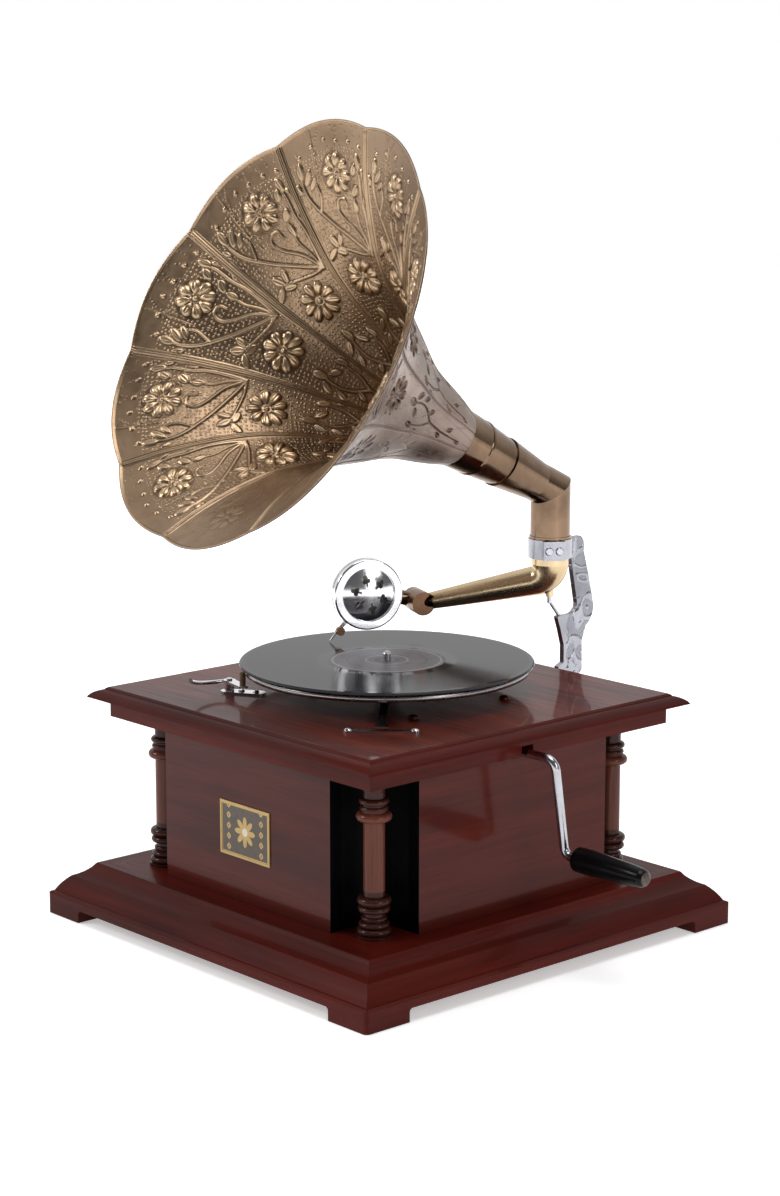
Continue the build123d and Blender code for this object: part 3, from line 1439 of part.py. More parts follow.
# The bell's section: radius and distance along the horn's axis.
bell_points = (
    (26.3, 121.0), (31.5, 136.0), (45.0, 181.0), (65.0, 219.0), (80.0, 246.0), (97.0, 270.0),
    (118.0, 291.0), (150.0, 317.0), (183.0, 338.0), (190.5, horn_mouth),
)
bell_inner_steps = 10
with BuildPart() as horn_petals:
    for petal in range(petal_count):
        seam = first_seam + 360 / petal_count * petal + petal_gap / 2
        with BuildSketch(horn_ray(seam)):
            with BuildLine():
                outside = Spline(*bell_points)
                inner_points = []
                for step in range(bell_inner_steps + 1):
                    share = step / bell_inner_steps
                    tangent = (outside % share).normalized()
                    inward = Vector(-tangent.Y, tangent.X, 0)
                    inner_points.append(outside @ share + inward * horn_wall)
                inside = Spline(*inner_points)
                Line(outside @ 0, inside @ 0)
                Line(outside @ 1, inside @ 1)
            make_face()
        revolve(axis=horn_axis, revolution_arc=360 / petal_count - petal_gap)
    with BuildSketch(horn_plane.offset(100)):
        with BuildLine():
            for petal in range(petal_count):
                seam = radians(first_seam + 360 / petal_count * petal)
                middle = seam + pi / petal_count
                next_seam = seam + 2 * pi / petal_count
                ThreePointArc(
                    (seam_rim_radius * cos(seam), seam_rim_radius * sin(seam)),
                    (petal_rim_radius * cos(middle), petal_rim_radius * sin(middle)),
                    (seam_rim_radius * cos(next_seam), seam_rim_radius * sin(next_seam)),
                )
        make_face()
    extrude(amount=300, mode=Mode.INTERSECT)
horn_petals.part.label = "horn_petals"
export_step(horn_petals.part, "parts/horn_petals.step")
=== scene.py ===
from math import cos, pi, radians, sin

import bpy
import numpy as np
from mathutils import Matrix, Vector


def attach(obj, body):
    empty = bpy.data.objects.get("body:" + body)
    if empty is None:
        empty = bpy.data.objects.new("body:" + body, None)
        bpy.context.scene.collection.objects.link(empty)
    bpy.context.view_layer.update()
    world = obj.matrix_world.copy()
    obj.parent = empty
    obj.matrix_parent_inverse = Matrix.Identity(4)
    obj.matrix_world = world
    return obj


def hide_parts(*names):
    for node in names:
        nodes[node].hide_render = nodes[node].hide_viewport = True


# Wind-up phonograph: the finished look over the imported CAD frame, in metres.

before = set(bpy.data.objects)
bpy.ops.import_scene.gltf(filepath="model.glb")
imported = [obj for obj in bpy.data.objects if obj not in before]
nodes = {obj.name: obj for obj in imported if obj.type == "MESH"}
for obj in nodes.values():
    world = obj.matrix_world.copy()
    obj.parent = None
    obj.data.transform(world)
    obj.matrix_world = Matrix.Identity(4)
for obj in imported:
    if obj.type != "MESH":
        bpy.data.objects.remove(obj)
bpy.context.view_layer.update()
scene = bpy.context.scene


def added(name, data):
    """A new object in the scene."""
    made = bpy.data.objects.new(name, data)
    scene.collection.objects.link(made)
    return made


# ---- Camera ----

camera_place = (1.6998, -1.5287, 0.7317)
camera_heading = Vector((-0.72882, 0.65701, -0.19276))
camera = added("camera", bpy.data.cameras.new("camera"))
camera.location = camera_place
camera.rotation_euler = camera_heading.to_track_quat("-Z", "Y").to_euler()
camera.data.lens = 82.49
camera.data.sensor_width = 36.0
camera.data.clip_end = 40.0
scene.camera = camera


# ---- Node helpers ----

def put(tree, kind, inputs=None, **settings):
    """Adds one shader node, with its settings and its inputs; an input is a value or a socket."""
    made = tree.nodes.new(kind)
    for name, value in settings.items():
        setattr(made, name, value)
    for name, value in (inputs or {}).items():
        if isinstance(value, bpy.types.NodeSocket):
            tree.links.new(value, made.inputs[name])
        else:
            made.inputs[name].default_value = value
    return made


def maths(tree, operation, a, b=0.0, c=0.5, clamp=False):
    """One Math node's result; c is what MULTIPLY_ADD adds."""
    inputs = {0: a, 1: b, 2: c}
    return put(tree, "ShaderNodeMath", inputs, operation=operation, use_clamp=clamp).outputs[0]


def parts_of(tree, vector):
    """The x, y and z of a vector."""
    return put(tree, "ShaderNodeSeparateXYZ", {0: vector}).outputs


def joined(tree, *values):
    """A vector from its x, y and, if given, z."""
    return put(tree, "ShaderNodeCombineXYZ", dict(enumerate(values))).outputs[0]


def length_of(tree, vector):
    """The length of a vector."""
    return put(tree, "ShaderNodeVectorMath", {0: vector}, operation="LENGTH").outputs["Value"]


def remap(tree, value, low, high, to_low=0.0, to_high=1.0):
    """value from low..high to to_low..to_high, held at the ends."""
    names = {"Value": value, "From Min": low, "From Max": high, "To Min": to_low, "To Max": to_high}
    return put(tree, "ShaderNodeMapRange", names).outputs[0]


def mixed(tree, share, a, b):
    """Colour a to colour b by share."""
    made = put(tree, "ShaderNodeMix", {"Factor": share}, data_type="RGBA")
    for socket, value in ((made.inputs[6], a), (made.inputs[7], b)):
        if isinstance(value, bpy.types.NodeSocket):
            tree.links.new(value, socket)
        else:
            socket.default_value = (*value, 1.0)
    return made.outputs[2]


def cloud(tree, where, scale, detail=4.0, rough=0.55, stretch=None):
    """Noise from 0 to 1 at a place, with separate scales along the three directions if asked."""
    if stretch:
        where = put(tree, "ShaderNodeMapping", {"Vector": where, "Scale": stretch}).outputs[0]
    names = {"Vector": where, "Scale": scale, "Detail": detail, "Roughness": rough}
    return put(tree, "ShaderNodeTexNoise", names).outputs[0]


def bumped(tree, height, strength, distance, under=None):
    """A normal with the height laid over it."""
    names = {"Height": height, "Strength": strength, "Distance": distance}
    if under is not None:
        names["Normal"] = under
    return put(tree, "ShaderNodeBump", names).outputs[0]


def material(name):
    """A new node material: its tree, its shader and the place on the object in metres."""
    made = bpy.data.materials.new(name)
    made.use_nodes = True
    tree = made.node_tree
    shader = tree.nodes["Principled BSDF"]
    where = put(tree, "ShaderNodeTexCoord").outputs["Object"]
    return made, tree, shader, where


def feed(tree, shader, **inputs):
    """Sets the shader's inputs, by names with _ for spaces; sockets are linked."""
    for name, value in inputs.items():
        socket = shader.inputs[name.replace("_", " ")]
        if isinstance(value, bpy.types.NodeSocket):
            tree.links.new(value, socket)
        elif isinstance(value, tuple) and len(value) == 3:
            socket.default_value = (*value, 1.0)
        else:
            socket.default_value = value


# ---- Materials ----

end_black = (0.0015, 0.0015, 0.0016)
ring_blend = 0.001  # over this height the turned rings go from pale to dark
# Noise scales along and across the grain: streaks of colour, pores and the lacquer's slow waves
streak_scales, pore_scales, wave_scales = (2.2, 34.0, 34.0), (14.0, 420.0, 420.0), (9.0, 16.0, 16.0)
collar_back = (0.181, 0.184)  # the bracket is smooth up to here and scrolled further back


def shaded(colour, factor):
    """The colour times the factor."""
    return tuple(factor * c for c in colour)


def lacquered(name, pale, dark, grain="frame", coat=0.26, gloss=0.06, black_from=None, dark_ends=None):
    """Reddish wood under clear lacquer.

    grain is x, y, z, or frame, which follows each side of a mitred square. black_from is how far along
    the grain the black end faces start. dark_ends is the z range outside which turned rings are darker.
    """
    made, tree, shader, where = material(name)
    x, y, z = parts_of(tree, where)
    if grain == "frame":
        side = maths(tree, "GREATER_THAN", maths(tree, "ABSOLUTE", x), maths(tree, "ABSOLUTE", y))
        swapped = joined(tree, y, x, z)
        pick = put(tree, "ShaderNodeMix", {"Factor": side, 4: where, 5: swapped}, data_type="VECTOR")
        where = pick.outputs[1]
    else:
        order = {"x": (x, y, z), "y": (y, x, z), "z": (z, y, x)}[grain]
        where = joined(tree, *order)
    streaks = cloud(tree, where, 1.0, 5.0, 0.6, streak_scales)
    pores = cloud(tree, where, 1.0, 3.0, 0.6, pore_scales)
    drift = cloud(tree, where, 5.0, 2.0, 0.5)
    tone = remap(tree, streaks, 0.36, 0.66)
    colour = mixed(tree, tone, pale, dark)
    colour = mixed(tree, remap(tree, pores, 0.45, 0.75, 0.0, 0.45), colour, shaded(dark, 0.55))
    colour = mixed(tree, remap(tree, drift, 0.3, 0.7, 0.0, 0.22), colour, shaded(pale, 1.5))
    if dark_ends:
        low, high = dark_ends
        below, above = remap(tree, z, low, low - ring_blend), remap(tree, z, high, high + ring_blend)
        rings = maths(tree, "MAXIMUM", below, above)
        colour = mixed(tree, maths(tree, "MULTIPLY", rings, 0.8), colour, shaded(dark, 0.3))
    if black_from:
        along = maths(tree, "ABSOLUTE", parts_of(tree, where)[0])
        colour = mixed(tree, maths(tree, "GREATER_THAN", along, black_from), colour, end_black)
    waves = cloud(tree, where, 1.0, 2.0, 0.5, wave_scales)
    feed(
        tree, shader, Base_Color=colour, Roughness=remap(tree, pores, 0.3, 0.8, 0.34, 0.5),
        Specular_IOR_Level=0.05, Coat_Weight=coat, Coat_Roughness=gloss, Coat_IOR=1.5,
        Normal=bumped(tree, pores, 0.12, 0.0002), Coat_Normal=bumped(tree, waves, 0.1, 0.0006),
    )
    return made


def metal(name, colour, tarnish_and_shade, rough, marks=0.25, scratch=(60.0, 60.0, 60.0), dents=0.0, scrolls=0.0):
    """Metal with cloudy dark oxide stains, fine rubbed scratches and, if asked, shallow dents or cast
    scrollwork with painted shade in its valleys.
    """
    made, tree, shader, where = material(name)
    stains = cloud(tree, where, 22.0, 6.0, 0.65)
    lines = cloud(tree, where, 9.0, 4.0, 0.7, scratch)
    share = remap(tree, stains, 0.42, 0.74, 0.0, marks)
    base = mixed(tree, share, colour, tarnish_and_shade)
    smear = maths(tree, "MULTIPLY_ADD", lines, 0.10, rough - 0.05)
    rougher = maths(tree, "ADD", smear, maths(tree, "MULTIPLY", share, 0.3), clamp=True)
    normal = bumped(tree, lines, 0.08, 0.0002)
    if dents:
        normal = bumped(tree, cloud(tree, where, 40.0, 2.0, 0.5), dents, 0.0006, normal)
    if scrolls:
        # rings round scattered centres, broken up into curls, the same on both sides of the casting
        flattened = put(tree, "ShaderNodeVectorMath", {0: where, 1: (0.0, 1.0, 1.0)}, operation="MULTIPLY")
        centres = {"Vector": flattened.outputs[0], "Scale": 48.0}
        cells = put(tree, "ShaderNodeTexVoronoi", centres).outputs["Distance"]
        wobble = maths(tree, "MULTIPLY", cloud(tree, where, 42.0, 1.0, 0.5), 1.2)
        rings = maths(tree, "SINE", maths(tree, "MULTIPLY", maths(tree, "ADD", cells, wobble), 14.0))
        flat = remap(tree, parts_of(tree, where)[1], *collar_back, 1.0, 0.0)
        curls = maths(tree, "MAXIMUM", remap(tree, rings, -0.2, 0.7), flat)
        normal = bumped(tree, curls, scrolls, 0.0009, normal)
        # painted shade: the valleys between the scrolls are darkened in the colour
        base = mixed(tree, remap(tree, curls, 0.4, 0.0, 0.0, 0.45), base, tarnish_and_shade)
    feed(tree, shader, Base_Color=base, Metallic=1.0, Roughness=rougher, Normal=normal)
    return made


def plain(name, colour, second, rough, scale=90.0, bump=0.2, depth=0.0004, coat=0.0, shine=0.5,
          worn_from=None):
    """A non-metal of two mixed tones with a fine texture; bare wood beyond x worn_from if asked."""
    made, tree, shader, where = material(name)
    grain = cloud(tree, where, scale, 5.0, 0.6)
    patches = cloud(tree, where, scale * 0.12, 3.0, 0.5)
    colour = mixed(tree, remap(tree, grain, 0.3, 0.7), colour, second)
    if worn_from:
        along = parts_of(tree, where)[0]
        bare = mixed(tree, remap(tree, grain, 0.4, 0.6), (0.16, 0.125, 0.115), (0.055, 0.04, 0.035))
        colour = mixed(tree, maths(tree, "GREATER_THAN", along, worn_from), colour, bare)
    rougher = remap(tree, patches, 0.3, 0.7, rough * 0.85, rough * 1.15)
    feed(
        tree, shader, Base_Color=colour, Roughness=rougher, Normal=bumped(tree, grain, bump, depth),
        Coat_Weight=coat, Coat_Roughness=0.08, Specular_IOR_Level=shine,
    )
    return made


wood_pale, wood_dark = (0.078, 0.0095, 0.0052), (0.029, 0.0034, 0.0022)
moulding_pale = (0.083, 0.0078, 0.0040)
deck_pale, deck_dark = (0.130, 0.018, 0.0075), (0.046, 0.0055, 0.003)
shaft_pale, shaft_dark = (0.140, 0.043, 0.026), (0.070, 0.017, 0.011)
panel_end = 0.1066  # the panels' end faces, in the corner recesses, are black from here outwards
shaft_range = (0.084, 0.150)  # the columns' plain shafts; the turned rings are below and above
grip_end = 0.2895  # the grip's outer end is worn to bare wood
moulding_wood = lacquered("mahogany_moulding", moulding_pale, wood_dark, coat=0.10)
deck_wood = lacquered("mahogany_deck", deck_pale, deck_dark, "x", coat=0.26)
panel_wood = {
    grain: lacquered(f"panel_{grain}", wood_pale, wood_dark, grain, coat, 0.11, black_from=panel_end)
    for grain, coat in (("x", 0.28), ("y", 0.24))
}
turned_wood = lacquered("turned_wood", shaft_pale, shaft_dark, "z", 0.3, 0.08, dark_ends=shaft_range)
black_lacquer = plain(
    "black_recess", (0.0012, 0.0013, 0.0014), (0.002, 0.002, 0.0022), 0.6, scale=60.0, shine=0.12
)
grip_black = plain(
    "grip_black", (0.0018, 0.0018, 0.002), (0.0035, 0.0035, 0.004), 0.3, scale=120.0, bump=0.12,
    depth=0.0002, coat=0.07, shine=0.12, worn_from=grip_end
)
chrome = metal("chrome", (0.78, 0.78, 0.81), (0.36, 0.35, 0.35), 0.09, marks=0.35)
crank_chrome = metal("crank_chrome", (0.50, 0.50, 0.54), (0.24, 0.23, 0.24), 0.14, marks=0.5)
platter_steel = metal("platter_steel", (0.30, 0.28, 0.28), (0.14, 0.13, 0.13), 0.24, marks=0.5)
steel = metal("steel", (0.55, 0.55, 0.56), (0.25, 0.24, 0.23), 0.3, marks=0.4)
iron = metal("cast_frame", (0.10, 0.10, 0.105), (0.05, 0.05, 0.05), 0.5, marks=0.5, dents=0.4)
gear_brass = metal("gear_brass", (0.70, 0.50, 0.20), (0.35, 0.22, 0.08), 0.28)
blued = metal("spring_steel", (0.16, 0.19, 0.27), (0.08, 0.08, 0.10), 0.3)
silver = metal("cast_aluminium", (0.52, 0.52, 0.57), (0.26, 0.26, 0.28), 0.28, marks=0.4, dents=0.6)
scrolled = metal(
    "cast_aluminium_scrolled", (0.39, 0.39, 0.43), (0.14, 0.14, 0.16), 0.26, marks=0.4, scrolls=1.0
)
arm_brass = metal(
    "polished_brass", (0.62, 0.47, 0.29), (0.30, 0.20, 0.11), 0.24, marks=0.45, scratch=(20.0, 20.0, 200.0)
)
horn_brass = metal(
    "aged_brass", (0.200, 0.132, 0.086), (0.060, 0.036, 0.023), 0.12, marks=0.6, scratch=(30.0, 30.0, 260.0)
)
cap_brown = metal("cap_bronze", (0.20, 0.11, 0.065), (0.09, 0.05, 0.03), 0.27, marks=0.5)
browned = metal("browned_steel", (0.060, 0.018, 0.011), (0.035, 0.012, 0.008), 0.42, marks=0.5)
rubber = plain("rubber", (0.02, 0.02, 0.02), (0.035, 0.034, 0.033), 0.7, scale=200.0)
felt = plain("felt", (0.022, 0.05, 0.028), (0.04, 0.075, 0.045), 0.95, scale=700.0, bump=0.7, depth=0.0008)
leather = plain("leather", (0.10, 0.05, 0.025), (0.16, 0.09, 0.05), 0.6, scale=300.0, bump=0.5, depth=0.0005)


def mica_sheet():
    """Pale translucent diaphragm."""
    made, tree, shader, where = material("mica")
    flakes = cloud(tree, where, 60.0, 5.0, 0.6)
    feed(
        tree, shader, Base_Color=mixed(tree, flakes, (0.60, 0.57, 0.50), (0.78, 0.76, 0.70)),
        Roughness=0.3, Transmission_Weight=0.25, Alpha=0.9, Normal=bumped(tree, flakes, 0.2, 0.0003),
    )
    return made


def radius_of(tree, where):
    """Distance from the vertical axis through the origin."""
    x, y, _ = parts_of(tree, where)
    return length_of(tree, joined(tree, x, y))


def shellac_disc(pitch=0.0012, first=0.059, full_from=0.062, full_to=0.1205, last=0.1225):
    """Black record: fine grooves with a cloudy sheen painted into the colour, and a smooth worn ring inside
    and outside them.
    """
    made, tree, shader, where = material("shellac")
    radius = radius_of(tree, where)
    turn = put(tree, "ShaderNodeTexGradient", {0: where}, gradient_type="RADIAL").outputs[0]
    along = joined(tree, maths(tree, "MULTIPLY", radius, 900.0), turn)
    painted_sheen = cloud(tree, along, 1.0, 3.0, 0.6)
    groove = maths(tree, "SINE", maths(tree, "MULTIPLY", radius, 2 * pi / pitch))
    inner, outer = remap(tree, radius, first, full_from), remap(tree, radius, last, full_to)
    grooved = maths(tree, "MULTIPLY", inner, outer)
    dust = cloud(tree, where, 120.0, 6.0, 0.7)
    # painted sheen: cloudy bands along the grooves make the black slightly lighter in places
    colour = mixed(tree, remap(tree, painted_sheen, 0.35, 0.65), (0.009, 0.009, 0.013), (0.019, 0.019, 0.025))
    colour = mixed(tree, maths(tree, "SUBTRACT", 1.0, grooved), colour, (0.040, 0.039, 0.043))
    colour = mixed(tree, remap(tree, dust, 0.62, 0.78, 0.0, 0.35), colour, (0.12, 0.115, 0.11))
    height = maths(tree, "MULTIPLY", maths(tree, "MULTIPLY", groove, grooved), 0.5)
    feed(
        tree, shader, Base_Color=colour, Roughness=remap(tree, grooved, 0.0, 1.0, 0.05, 0.10),
        Specular_IOR_Level=0.08, Normal=bumped(tree, height, 0.05, 0.00025),
    )
    return made


# The label's rings: middle radius, half width and colour
label_rings = (
    (0.0465, 0.0007, (0.34, 0.32, 0.31)), (0.034, 0.0005, (0.05, 0.045, 0.045)),
    (0.018, 0.0006, (0.33, 0.31, 0.29)), (0.0085, 0.0022, (0.05, 0.045, 0.045)),
)


def label_paper():
    """Worn grey label: plain rings only."""
    made, tree, shader, where = material("label_paper")
    radius = radius_of(tree, where)
    fibres = cloud(tree, where, 260.0, 5.0, 0.65)
    stains = cloud(tree, where, 34.0, 4.0, 0.6)
    colour = mixed(tree, remap(tree, stains, 0.35, 0.7), (0.135, 0.13, 0.145), (0.075, 0.07, 0.08))
    colour = mixed(tree, remap(tree, fibres, 0.4, 0.7, 0.0, 0.3), colour, (0.20, 0.19, 0.20))
    for middle, half, tone in label_rings:
        away = maths(tree, "ABSOLUTE", maths(tree, "SUBTRACT", radius, middle))
        colour = mixed(tree, remap(tree, away, half + 0.0003, half, 0.0, 0.8), colour, tone)
    feed(
        tree, shader, Base_Color=colour, Roughness=0.42, Normal=bumped(tree, fibres, 0.15, 0.0002),
        Coat_Weight=0.08, Coat_Roughness=0.2, Specular_IOR_Level=0.2,
    )
    return made


def plate_picture(middle_z=0.106, half_x=0.032, half_z=0.023):
    """Brass plate: a bright border, a plain rosette and a chain of rings at each side, on a dark ground."""
    border_width, boss_radius, waist, swell = 0.0030, 0.0034, 0.0055, 0.0075
    chain_x, chain_swing, chain_half, chain_turns, soft = 0.021, 0.0016, 0.0009, 700.0, 0.0002
    gold, ground, boss_white = (0.42, 0.27, 0.075), (0.035, 0.022, 0.014), (0.55, 0.50, 0.42)
    made, tree, shader, where = material("printed_plate")
    x, _, z = parts_of(tree, where)
    up = maths(tree, "SUBTRACT", z, middle_z)
    across, upward = maths(tree, "ABSOLUTE", x), maths(tree, "ABSOLUTE", up)
    from_side, from_top = maths(tree, "SUBTRACT", half_x, across), maths(tree, "SUBTRACT", half_z, upward)
    inset = maths(tree, "MINIMUM", from_side, from_top)
    radius = length_of(tree, joined(tree, x, up))
    bearing = maths(tree, "ARCTAN2", up, x)
    petals = maths(tree, "ABSOLUTE", maths(tree, "COSINE", maths(tree, "MULTIPLY", bearing, 4.0)))
    reach = maths(tree, "MULTIPLY_ADD", petals, swell, waist)
    inside = remap(tree, maths(tree, "SUBTRACT", reach, radius), -1.5 * soft, 1.5 * soft)
    worn = cloud(tree, where, 160.0, 5.0, 0.7)
    colour = mixed(tree, remap(tree, worn, 0.35, 0.7), ground, (0.075, 0.05, 0.03))
    colour = mixed(tree, inside, colour, gold)
    colour = mixed(tree, remap(tree, radius, boss_radius + soft, boss_radius - soft), colour, boss_white)
    from_chain = maths(tree, "ABSOLUTE", maths(tree, "SUBTRACT", across, chain_x))
    wave = maths(tree, "SINE", maths(tree, "MULTIPLY", up, chain_turns))
    wave = maths(tree, "MULTIPLY", wave, chain_swing)
    from_ring = maths(tree, "ABSOLUTE", maths(tree, "SUBTRACT", from_chain, wave))
    colour = mixed(tree, remap(tree, from_ring, chain_half + soft, chain_half - soft), colour, gold)
    colour = mixed(tree, remap(tree, inset, border_width + soft, border_width - soft), colour, gold)
    colour = mixed(tree, remap(tree, worn, 0.60, 0.72, 0.0, 0.5), colour, ground)
    feed(
        tree, shader, Base_Color=colour, Metallic=0.35, Roughness=remap(tree, worn, 0.3, 0.7, 0.3, 0.5),
        Normal=bumped(tree, worn, 0.1, 0.0003), Coat_Weight=0.3, Coat_Roughness=0.12,
    )
    return made


finishes = {
    moulding_wood: ("base_moulding", "plinth_board", "frieze_rails", "deck_moulding"),
    deck_wood: ("deck_board",),
    panel_wood["x"]: ("front_panel", "back_panel"),
    panel_wood["y"]: ("left_panel", "right_panel"),
    turned_wood: ("columns",),
    black_lacquer: ("corner_posts",),
    grip_black: ("crank_grip",),
    plate_picture(): ("plaque",),
    iron: ("motor_bed_plate", "motor_lower_plate"),
    steel: ("motor_pillars", "winding_shaft", "barrel_arbor", "spindle", "intermediate_arbor",
            "governor_arbor", "needle"),
    rubber: ("motor_grommets", "gaskets"),
    gear_brass: ("spring_barrel", "barrel_lid", "winding_wheel", "intermediate_wheel", "spindle_wheel",
                 "governor_collars", "governor_weights"),
    blued: ("mainspring", "governor_springs"),
    chrome: ("speed_scale", "speed_lever", "brake_bracket", "brake_lever", "soundbox_shell",
             "soundbox_grille", "stylus_bar", "deck_screws"),
    crank_chrome: ("crank",),
    platter_steel: ("platter",),
    felt: ("felt_mat", "speed_pad"),
    leather: ("brake_pad",),
    shellac_disc(): ("record",),
    label_paper(): ("record_label",),
    scrolled: ("support_bracket",),
    silver: ("bracket_screws", "pivot_pin"),
    arm_brass: ("tonearm_tube",),
    cap_brown: ("tonearm_knuckle", "needle_screw"),
    horn_brass: ("gooseneck", "horn_elbow", "horn_throat", "horn_petals"),
    browned: ("motor_bolts",),
    mica_sheet(): ("diaphragm",),
}
for finish, names in finishes.items():
    for name in names:
        nodes[name].data.materials.clear()
        nodes[name].data.materials.append(finish)


# ---- Horn petals, pressed with flowers, stems, leaves and beads ----

horn_foot = Vector((0.035, 0.161, 0.3635))
heading, rise = radians(-95.2), radians(27.2)
horn_axis = Vector((cos(heading) * cos(rise), sin(heading) * cos(rise), sin(rise)))
horn_side = Vector((0, 0, 1)).cross(horn_axis).normalized()
horn_up = horn_axis.cross(horn_side)
petal_count = 10
petal_turn = 2 * pi / petal_count
first_seam = radians(46.1)
half_span = petal_turn / 2 - radians(0.03)
sheet_thickness = 1.0
seam_radius, middle_radius = 182.9, 187.4  # the scalloped rim, at the seams and between them
# The bell's outline, in millimetres: distance from the axis and along it, from the throat ring to the rim
bell_points = ((26.3, 121), (31.5, 136), (45, 181), (65, 219), (80, 246), (97, 270), (118, 291), (150, 317),
               (183, 338), (190.5, 343))
along_cells = 322
# Steps across a petal from -1 to 1, closer together at the seams
across_steps = np.concatenate([
    np.linspace(-1, -0.915, 13, endpoint=False), np.linspace(-0.915, 0.915, 124, endpoint=False),
    np.linspace(0.915, 1, 14),
])


def bell_profile():
    """Even steps down the outside of the bell: radius and height, and the distance from the rim."""
    knots = np.array(bell_points, float)
    chord = np.concatenate([[0], np.cumsum(np.hypot(*np.diff(knots, axis=0).T))])
    fine = np.linspace(0, chord[-1], 4000)
    smooth = []
    for column in knots.T:
        slope = np.gradient(column, chord)
        i = np.clip(np.searchsorted(chord, fine, side="right") - 1, 0, len(chord) - 2)
        span = chord[i + 1] - chord[i]
        t = (fine - chord[i]) / span
        smooth.append(
            (2 * t**3 - 3 * t**2 + 1) * column[i] + (t**3 - 2 * t**2 + t) * span * slope[i]
            + (3 * t**2 - 2 * t**3) * column[i + 1] + (t**3 - t**2) * span * slope[i + 1]
        )
    length = np.concatenate([[0], np.cumsum(np.hypot(np.diff(smooth[0]), np.diff(smooth[1])))])
    even = np.linspace(0, length[-1], along_cells + 1)
    return np.interp(even, length, smooth[0]), np.interp(even, length, smooth[1]), length[-1] - even


def bent(points, steps=14):
    """A smooth line through the points (Catmull-Rom)."""
    p = np.array([points[0], *points, points[-1]], float)
    out = []
    for i in range(1, len(p) - 2):
        for t in np.linspace(0, 1, steps, endpoint=False):
            out.append(0.5 * (2 * p[i] + (p[i + 1] - p[i - 1]) * t
                              + (2 * p[i - 1] - 5 * p[i] + 4 * p[i + 1] - p[i + 2]) * t**2
                              + (3 * p[i] - p[i - 1] - 3 * p[i + 1] + p[i + 2]) * t**3))
    out.append(p[-2])
    return np.array(out)


def line_distance(x, y, line):
    """Distance of each place from a line, and how far along it the nearest spot is (0 to 1)."""
    best, share = np.full(x.shape, 1e9), np.zeros(x.shape)
    for i in range(len(line) - 1):
        (ax, ay), (bx, by) = line[i], line[i + 1]
        dx, dy = bx - ax, by - ay
        t = np.clip(((x - ax) * dx + (y - ay) * dy) / max(dx * dx + dy * dy, 1e-9), 0, 1)
        d = np.hypot(x - ax - t * dx, y - ay - t * dy)
        closer = d < best
        best, share = np.where(closer, d, best), np.where(closer, (i + t) / (len(line) - 1), share)
    return best, share


def ridge(distance, half_width):
    """Round-topped ridge of height 1."""
    return np.sqrt(np.clip(1 - (distance / half_width) ** 2, 0, None))


def flower(x, y, cx, cy, reach, lobes, turn):
    """A domed flower with separate lobes and a boss in the middle, of height 1."""
    rho, theta = np.hypot(x - cx, y - cy), np.arctan2(y - cy, x - cx) + turn
    step = 2 * pi / lobes
    off = (theta + step / 2) % step - step / 2
    wide = 0.47 * step * np.clip(rho, 0.1, None)
    bulge = ((rho - 0.62 * reach) / (0.38 * reach)) ** 2 + (rho * np.sin(off) / wide) ** 2
    lobe = np.sqrt(np.clip(1 - bulge, 0, None)) * (1 - 0.3 * np.exp(-((rho * off) / 0.7) ** 2))
    boss = 0.9 * ridge(rho, 0.13 * reach)
    collar = 0.35 * np.exp(-((rho - 0.2 * reach) / 0.9) ** 2)
    return np.maximum.reduce([lobe, boss, collar]), rho < reach + 1.2


def leaf(x, y, cx, cy, length, width, turn):
    """A domed almond leaf with a groove along its middle, of height 1."""
    u = (x - cx) * cos(turn) + (y - cy) * sin(turn)
    v = -(x - cx) * sin(turn) + (y - cy) * cos(turn)
    edge = width / 2 * np.clip(1 - (2 * u / length) ** 2, 0, None) ** 0.8
    inside = (np.abs(u) < length / 2 + 0.8) & (np.abs(v) < edge + 1.1)
    dome = ridge(v, np.maximum(edge, 0.05)) ** 0.7
    return dome * (1 - 0.45 * np.exp(-((v / 0.55) ** 2))), inside


# Lines of stems across a petal, with half widths: millimetres from its middle line and from the rim
node = (-25, 111.5)
stems = (
    ((node, (-12, 105), (5, 91), (20, 74), (31, 58), (36, 44), (36, 32)), 1.5),
    ((node, (-30, 95), (-34, 77), (-35, 60), (-38, 46), (-38, 33)), 1.4),
    ((node, (-17, 96), (-5, 84), (1, 74), (-2, 66), (-10, 66), (-11, 73)), 1.35),
    ((node, (-12, 113), (3, 109), (16, 102)), 1.2),
    ((node, (-24, 97), (-21, 84), (-23, 73)), 1.0),
    (((22, 71), (18, 58), (20, 49)), 1.0),
    (((-3, 216), (4, 204), (7, 190), (4.5, 173)), 1.2),
    (((-3, 216), (-10, 201), (-13, 184)), 1.0),
    (((-3, 216), (-5, 238), (-5, 262)), 0.9),
)
# Leaves: place, length, width and direction in degrees
leaves = (
    (37, 32, 15, 7.5, 98), (29, 40, 14, 7, 60), (43, 44, 13, 6.5, 125), (24, 47, 12, 6, 45),
    (-39, 32, 14, 7, 92), (-31, 40, 13, 6.5, 60), (-45, 42, 12, 6, 120), (-27, 58, 14, 7, 50),
    (-40, 66, 12, 6, 118), (-23, 71, 13, 6, 85), (-37, 88, 12, 6, 115),
    (18, 97, 15, 7.5, 118), (24, 106, 14, 7, 25), (12, 108, 13, 6.5, 150), (10, 98, 12, 6, 75),
    (4.5, 171, 14, 7, 95), (12, 180, 12, 6, 55), (-3, 182, 12, 6, 125), (13, 195, 11, 5.5, 65),
    (-14, 181, 12, 6, 100), (-17, 195, 10, 5, 70), (5, 212, 10, 5, 60), (-9, 236, 9, 4.2, 115),
    (0, 248, 9, 4, 65), (-6, 264, 8, 3.5, 95),
)
flowers = ((-7, 44, 17.5, 8, 0.2), (0.4, 134, 18.0, 9, 0.1))
rim_beads = ((-44, 20), (-29, 18), (-12, 18), (3, 16), (20, 18), (36, 22))
